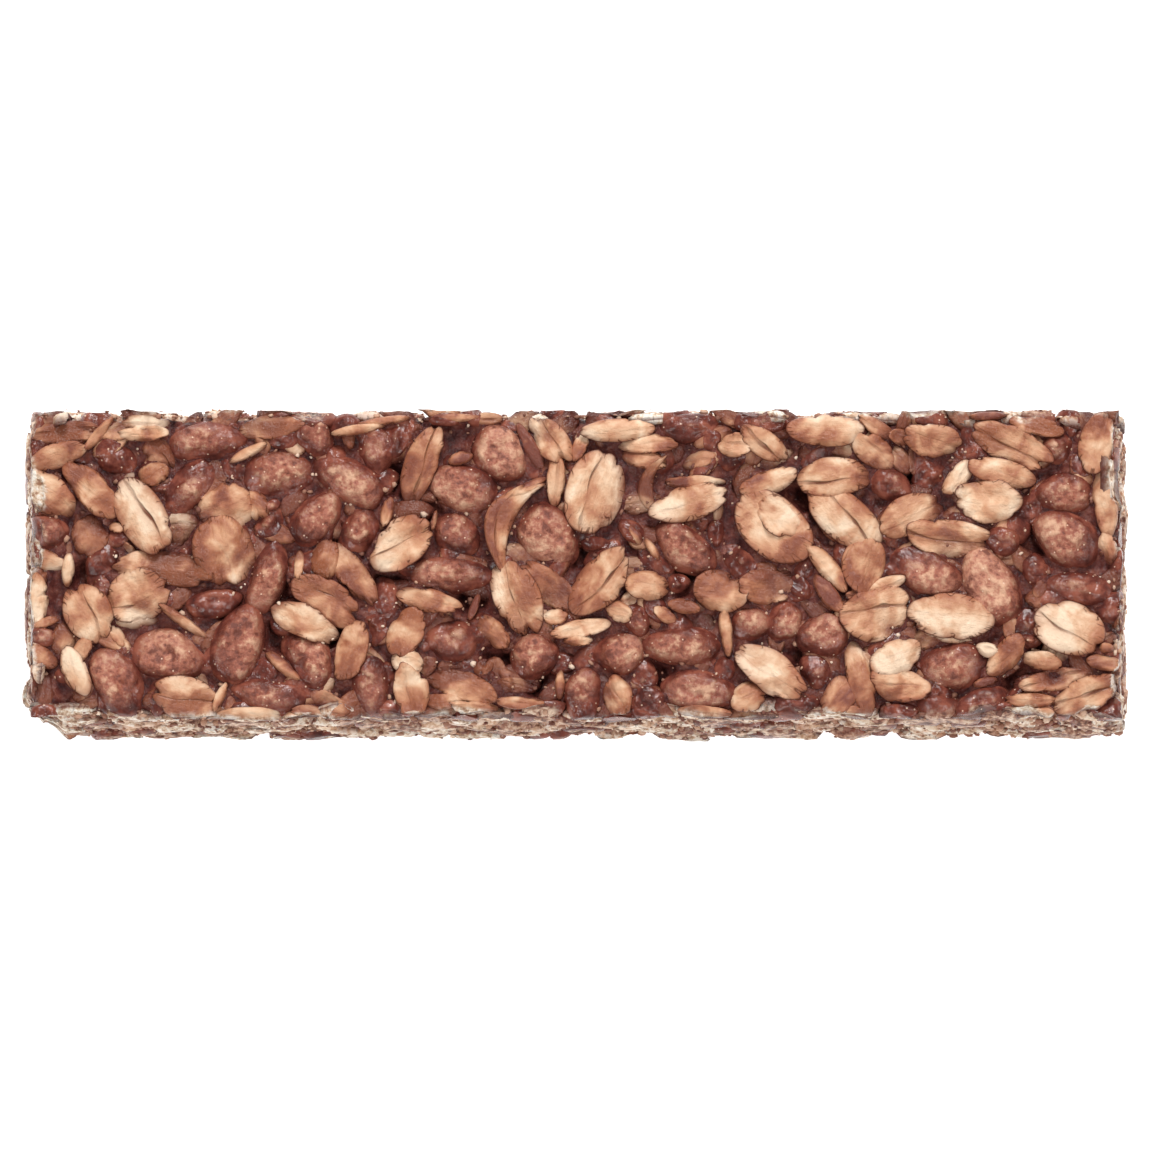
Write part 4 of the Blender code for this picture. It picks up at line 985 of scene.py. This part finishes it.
front = front_face.read(syrup_maps[front_face], x0, z)
back = back_face.read(syrup_maps[back_face], -x0, z)
x = u * half_length(z) + np.clip(u, 0, 1) ** 16 * right - np.clip(-u, 0, 1) ** 16 * left
y = v * half_width(z) + np.clip(v, 0, 1) ** 16 * back - np.clip(-v, 0, 1) ** 16 * front
shoulder = 0.8 * ease_between(bar_height - 3.0, bar_height - 1.4, z)
x, y, z = knife(np.column_stack([x, y, z]), 0.15 + shoulder)[0].T
place_of = np.full([n + 1 for n in counts], -1)
place_of[tuple(numbers.T)] = np.arange(len(numbers))


def sheet(grid, flip):
    """Four-sided faces over a grid of point numbers."""
    corners = (grid[:-1, :-1], grid[1:, :-1], grid[1:, 1:], grid[:-1, 1:])
    quads = np.stack([c.ravel() for c in corners], axis=1)
    return quads[:, ::-1] if flip else quads


quads = np.concatenate([
    sheet(place_of[:, :, -1], False),
    sheet(place_of[:, 0, :], False),
    sheet(place_of[:, -1, :], True),
    sheet(place_of[0, :, :], True),
    sheet(place_of[-1, :, :], False),
])
syrup_mesh = bpy.data.meshes.new("cocoa_syrup")
ring = np.concatenate([
    place_of[:-1, 0, 0], place_of[-1, :-1, 0], place_of[:0:-1, -1, 0], place_of[0, :0:-1, 0],
])[::-1]
syrup_points = np.column_stack([x, y, z]) * MM
syrup_mesh.from_pydata(syrup_points.tolist(), [], quads.tolist() + [ring.tolist()])
was_cut = (np.abs(u) == 1) | (np.abs(v) == 1) | (w == 0)
crumb_share = was_cut * ease_between(bar_height, bar_height - 0.9, z)
layer = syrup_mesh.attributes.new("crumb", "FLOAT", "POINT")
layer.data.foreach_set("value", crumb_share.astype(np.float32))

# Set cocoa syrup: near black brown, glossy with small sharp glints. On the cut faces fine oat
# dust makes it a dull sandy brown.
cocoa_syrup = new_material("cocoa_syrup")
crumb = add_node(cocoa_syrup, "Attribute", {"attribute_name": "crumb"})
where = add_node(cocoa_syrup, "TexCoord")
cloud = add_node(cocoa_syrup, "TexNoise", sockets={
    "Vector": (where, "Object"), "Scale": 700.0, "Detail": 5.0, "Roughness": 0.65,
})
dark = add_node(cocoa_syrup, "ValToRGB", sockets={"Fac": (cloud, "Fac")})
fill_ramp(dark, ((0.35, "#3a1a1a"), (0.52, "#5d2e28"), (0.68, "#814d40")))
sandy = add_node(cocoa_syrup, "ValToRGB", sockets={"Fac": (cloud, "Fac")})
fill_ramp(sandy, ((0.35, "#5a3327"), (0.5, "#a47d66"), (0.64, "#e8d0ba")))
colour = add_node(cocoa_syrup, "Mix", {"data_type": "RGBA"}, {
    FACTOR: (crumb, "Fac"), COLOUR_A: (dark, "Color"), COLOUR_B: (sandy, "Color"),
})
shine = add_node(cocoa_syrup, "MapRange", sockets={
    "Value": (crumb, "Fac"), "To Min": 0.22, "To Max": 0.65,
})
bump = add_node(cocoa_syrup, "Bump", sockets={
    "Height": (cloud, "Fac"), "Strength": 0.8, "Distance": 0.6 * MM,
})
finish(cocoa_syrup, (colour, COLOUR_OUT), shine, bump, ior=1.48, specular=0.2)
fit_piece("cocoa_syrup", syrup_mesh, cocoa_syrup)

# Crumb: broken oats, bran and crisp dust, stuck wherever the syrup shows. It lies in the gaps on
# top and covers the cut faces.
crumbs = Heap()


# The 12 corners of a regular body of 20 faces, of about unit radius
corner_signs = [(s, t * (1 + 5**0.5) / 2, 0) for s in (-1, 1) for t in (-1, 1)]
whole = np.array([np.roll(corner, k) for k in range(3) for corner in corner_signs]) / 1.9


def nugget(size):
    """A small broken bit of 20 faces, as points about its middle."""
    points = whole * draw.uniform(0.75, 1.2, (12, 1))
    return points * np.array([1, draw.uniform(0.5, 1), draw.uniform(0.4, 0.8)]) * size / 2


nugget_faces = []
for i in range(12):
    for j in range(i + 1, 12):
        for k in range(j + 1, 12):
            spans = [np.linalg.norm(whole[p] - whole[q]) for p, q in ((i, j), (j, k), (k, i))]
            if max(spans) < 1.2:
                outward = np.cross(whole[j] - whole[i], whole[k] - whole[i]) @ whole[i] > 0
                nugget_faces.append((i, j, k) if outward else (i, k, j))
nugget_faces = np.array(nugget_faces)

wanted = {upper_face: 1300, front_face: 2600, back_face: 2600, right_face: 800, left_face: 800}
for face, tries in wanted.items():
    reach = np.array(face.shape) * Face.step - 2 * face.spare
    for _ in range(tries):
        a, b = face.low + face.spare + draw.random(2) * reach
        end = half_length(b) if face in (front_face, back_face) else half_width(b)
        size = draw.uniform(0.2, 0.4) + (0.5 if face is upper_face else 0.8) * draw.random() ** 4
        ground = float(face.read(face.height, np.array([a]), np.array([b]))[0])
        near_rim = b > bar_height - 1.3 or abs(a) > end - 1
        if (face is upper_face and ground > -1.2) or (face is not upper_face and near_rim):
            continue
        syrup_here = float(face.read(syrup_maps[face], np.array([a]), np.array([b]))[0])
        spin = draw.uniform(0, 2 * math.pi)
        bit = nugget(size)
        bit_a = bit[:, 0] * math.cos(spin) - bit[:, 1] * math.sin(spin) + a
        bit_b = bit[:, 0] * math.sin(spin) + bit[:, 1] * math.cos(spin) + b
        height = bit[:, 2] + max(ground, syrup_here) + 0.1 * size
        points, cut = knife(np.column_stack(face.place(bit_a, bit_b, height)), 0.02)
        crumbs.add(points, nugget_faces, {"tone": draw.random()})

# Crumb: matt dust from cream to cocoa brown
oat_crumb = new_material("oat_crumb")
shader = oat_crumb.node_tree.nodes["Principled BSDF"]
tone = add_node(oat_crumb, "Attribute", {"attribute_name": "tone"})
colour = add_node(oat_crumb, "ValToRGB", sockets={"Fac": (tone, "Fac")})
fill_ramp(colour, ((0.0, "#6b3c2f"), (0.4, "#9a6a55"), (0.75, "#c89d82"), (1.0, "#f3dcc5")))
oat_crumb.node_tree.links.new(colour.outputs["Color"], shader.inputs["Base Color"])
shader.inputs["Roughness"].default_value = 0.7
crumbs.fit("oat_crumb", oat_crumb)

# A plain white floor that the bar lies on: matt board, lit so brightly that it shows no grey
bpy.ops.mesh.primitive_plane_add(size=6.0)
floor = bpy.context.object
floor.name = "floor"
floor_white = new_material("floor_white")
shader = floor_white.node_tree.nodes["Principled BSDF"]
shader.inputs["Base Color"].default_value = linear("#fbfbfb")
shader.inputs["Roughness"].default_value = 0.9
shader.inputs["Emission Color"].default_value = linear("#ffffff")
shader.inputs["Emission Strength"].default_value = 0.62
floor.data.materials.append(floor_white)

# Soft studio light: a strong box behind, which draws light rims on the far edges of the oats, a
# small one high up for sharp glints on the glaze, two weaker ones in front, and a dim white room.
# Nothing bright is straight above, so the syrup keeps its colour and shines only on its slopes.
world = bpy.data.worlds.new("studio")
bpy.context.scene.world = world
world.use_nodes = True
world.node_tree.nodes["Background"].inputs["Color"].default_value = linear("#ffffff")
world.node_tree.nodes["Background"].inputs["Strength"].default_value = 0.245


def soft_box(name, place, size, power):
    lamp = bpy.data.lights.new(name, "AREA")
    lamp.shape = "SQUARE"
    lamp.size = size
    lamp.energy = power
    made = bpy.data.objects.new(name, lamp)
    made.location = place
    made.rotation_euler = (-Vector(place)).to_track_quat("-Z", "Y").to_euler()
    bpy.context.scene.collection.objects.link(made)


soft_box("box_behind", (0.06, 0.65, 0.5), 0.2, 5.0)
soft_box("box_above", (0.12, 0.3, 0.78), 0.1, 1.1)
soft_box("box_front_left", (-0.55, -0.35, 0.6), 0.2, 2.6)
soft_box("box_front_right", (0.5, -0.4, 0.65), 0.2, 2.0)

# Camera: nearly straight above, leaning a little to the front so that the front cut face shows
lean = math.radians(7.5)
distance = 1.288
target = Vector((0.0004, -0.0018, bar_height * MM))
lens = bpy.data.cameras.new("camera")
lens.lens = 400
camera = bpy.data.objects.new("camera", lens)
camera.location = target + distance * Vector((0, -math.sin(lean), math.cos(lean)))
camera.rotation_euler = (lean, 0, 0)
bpy.context.scene.collection.objects.link(camera)
bpy.context.scene.camera = camera
bpy.context.scene.view_settings.view_transform = "Standard"
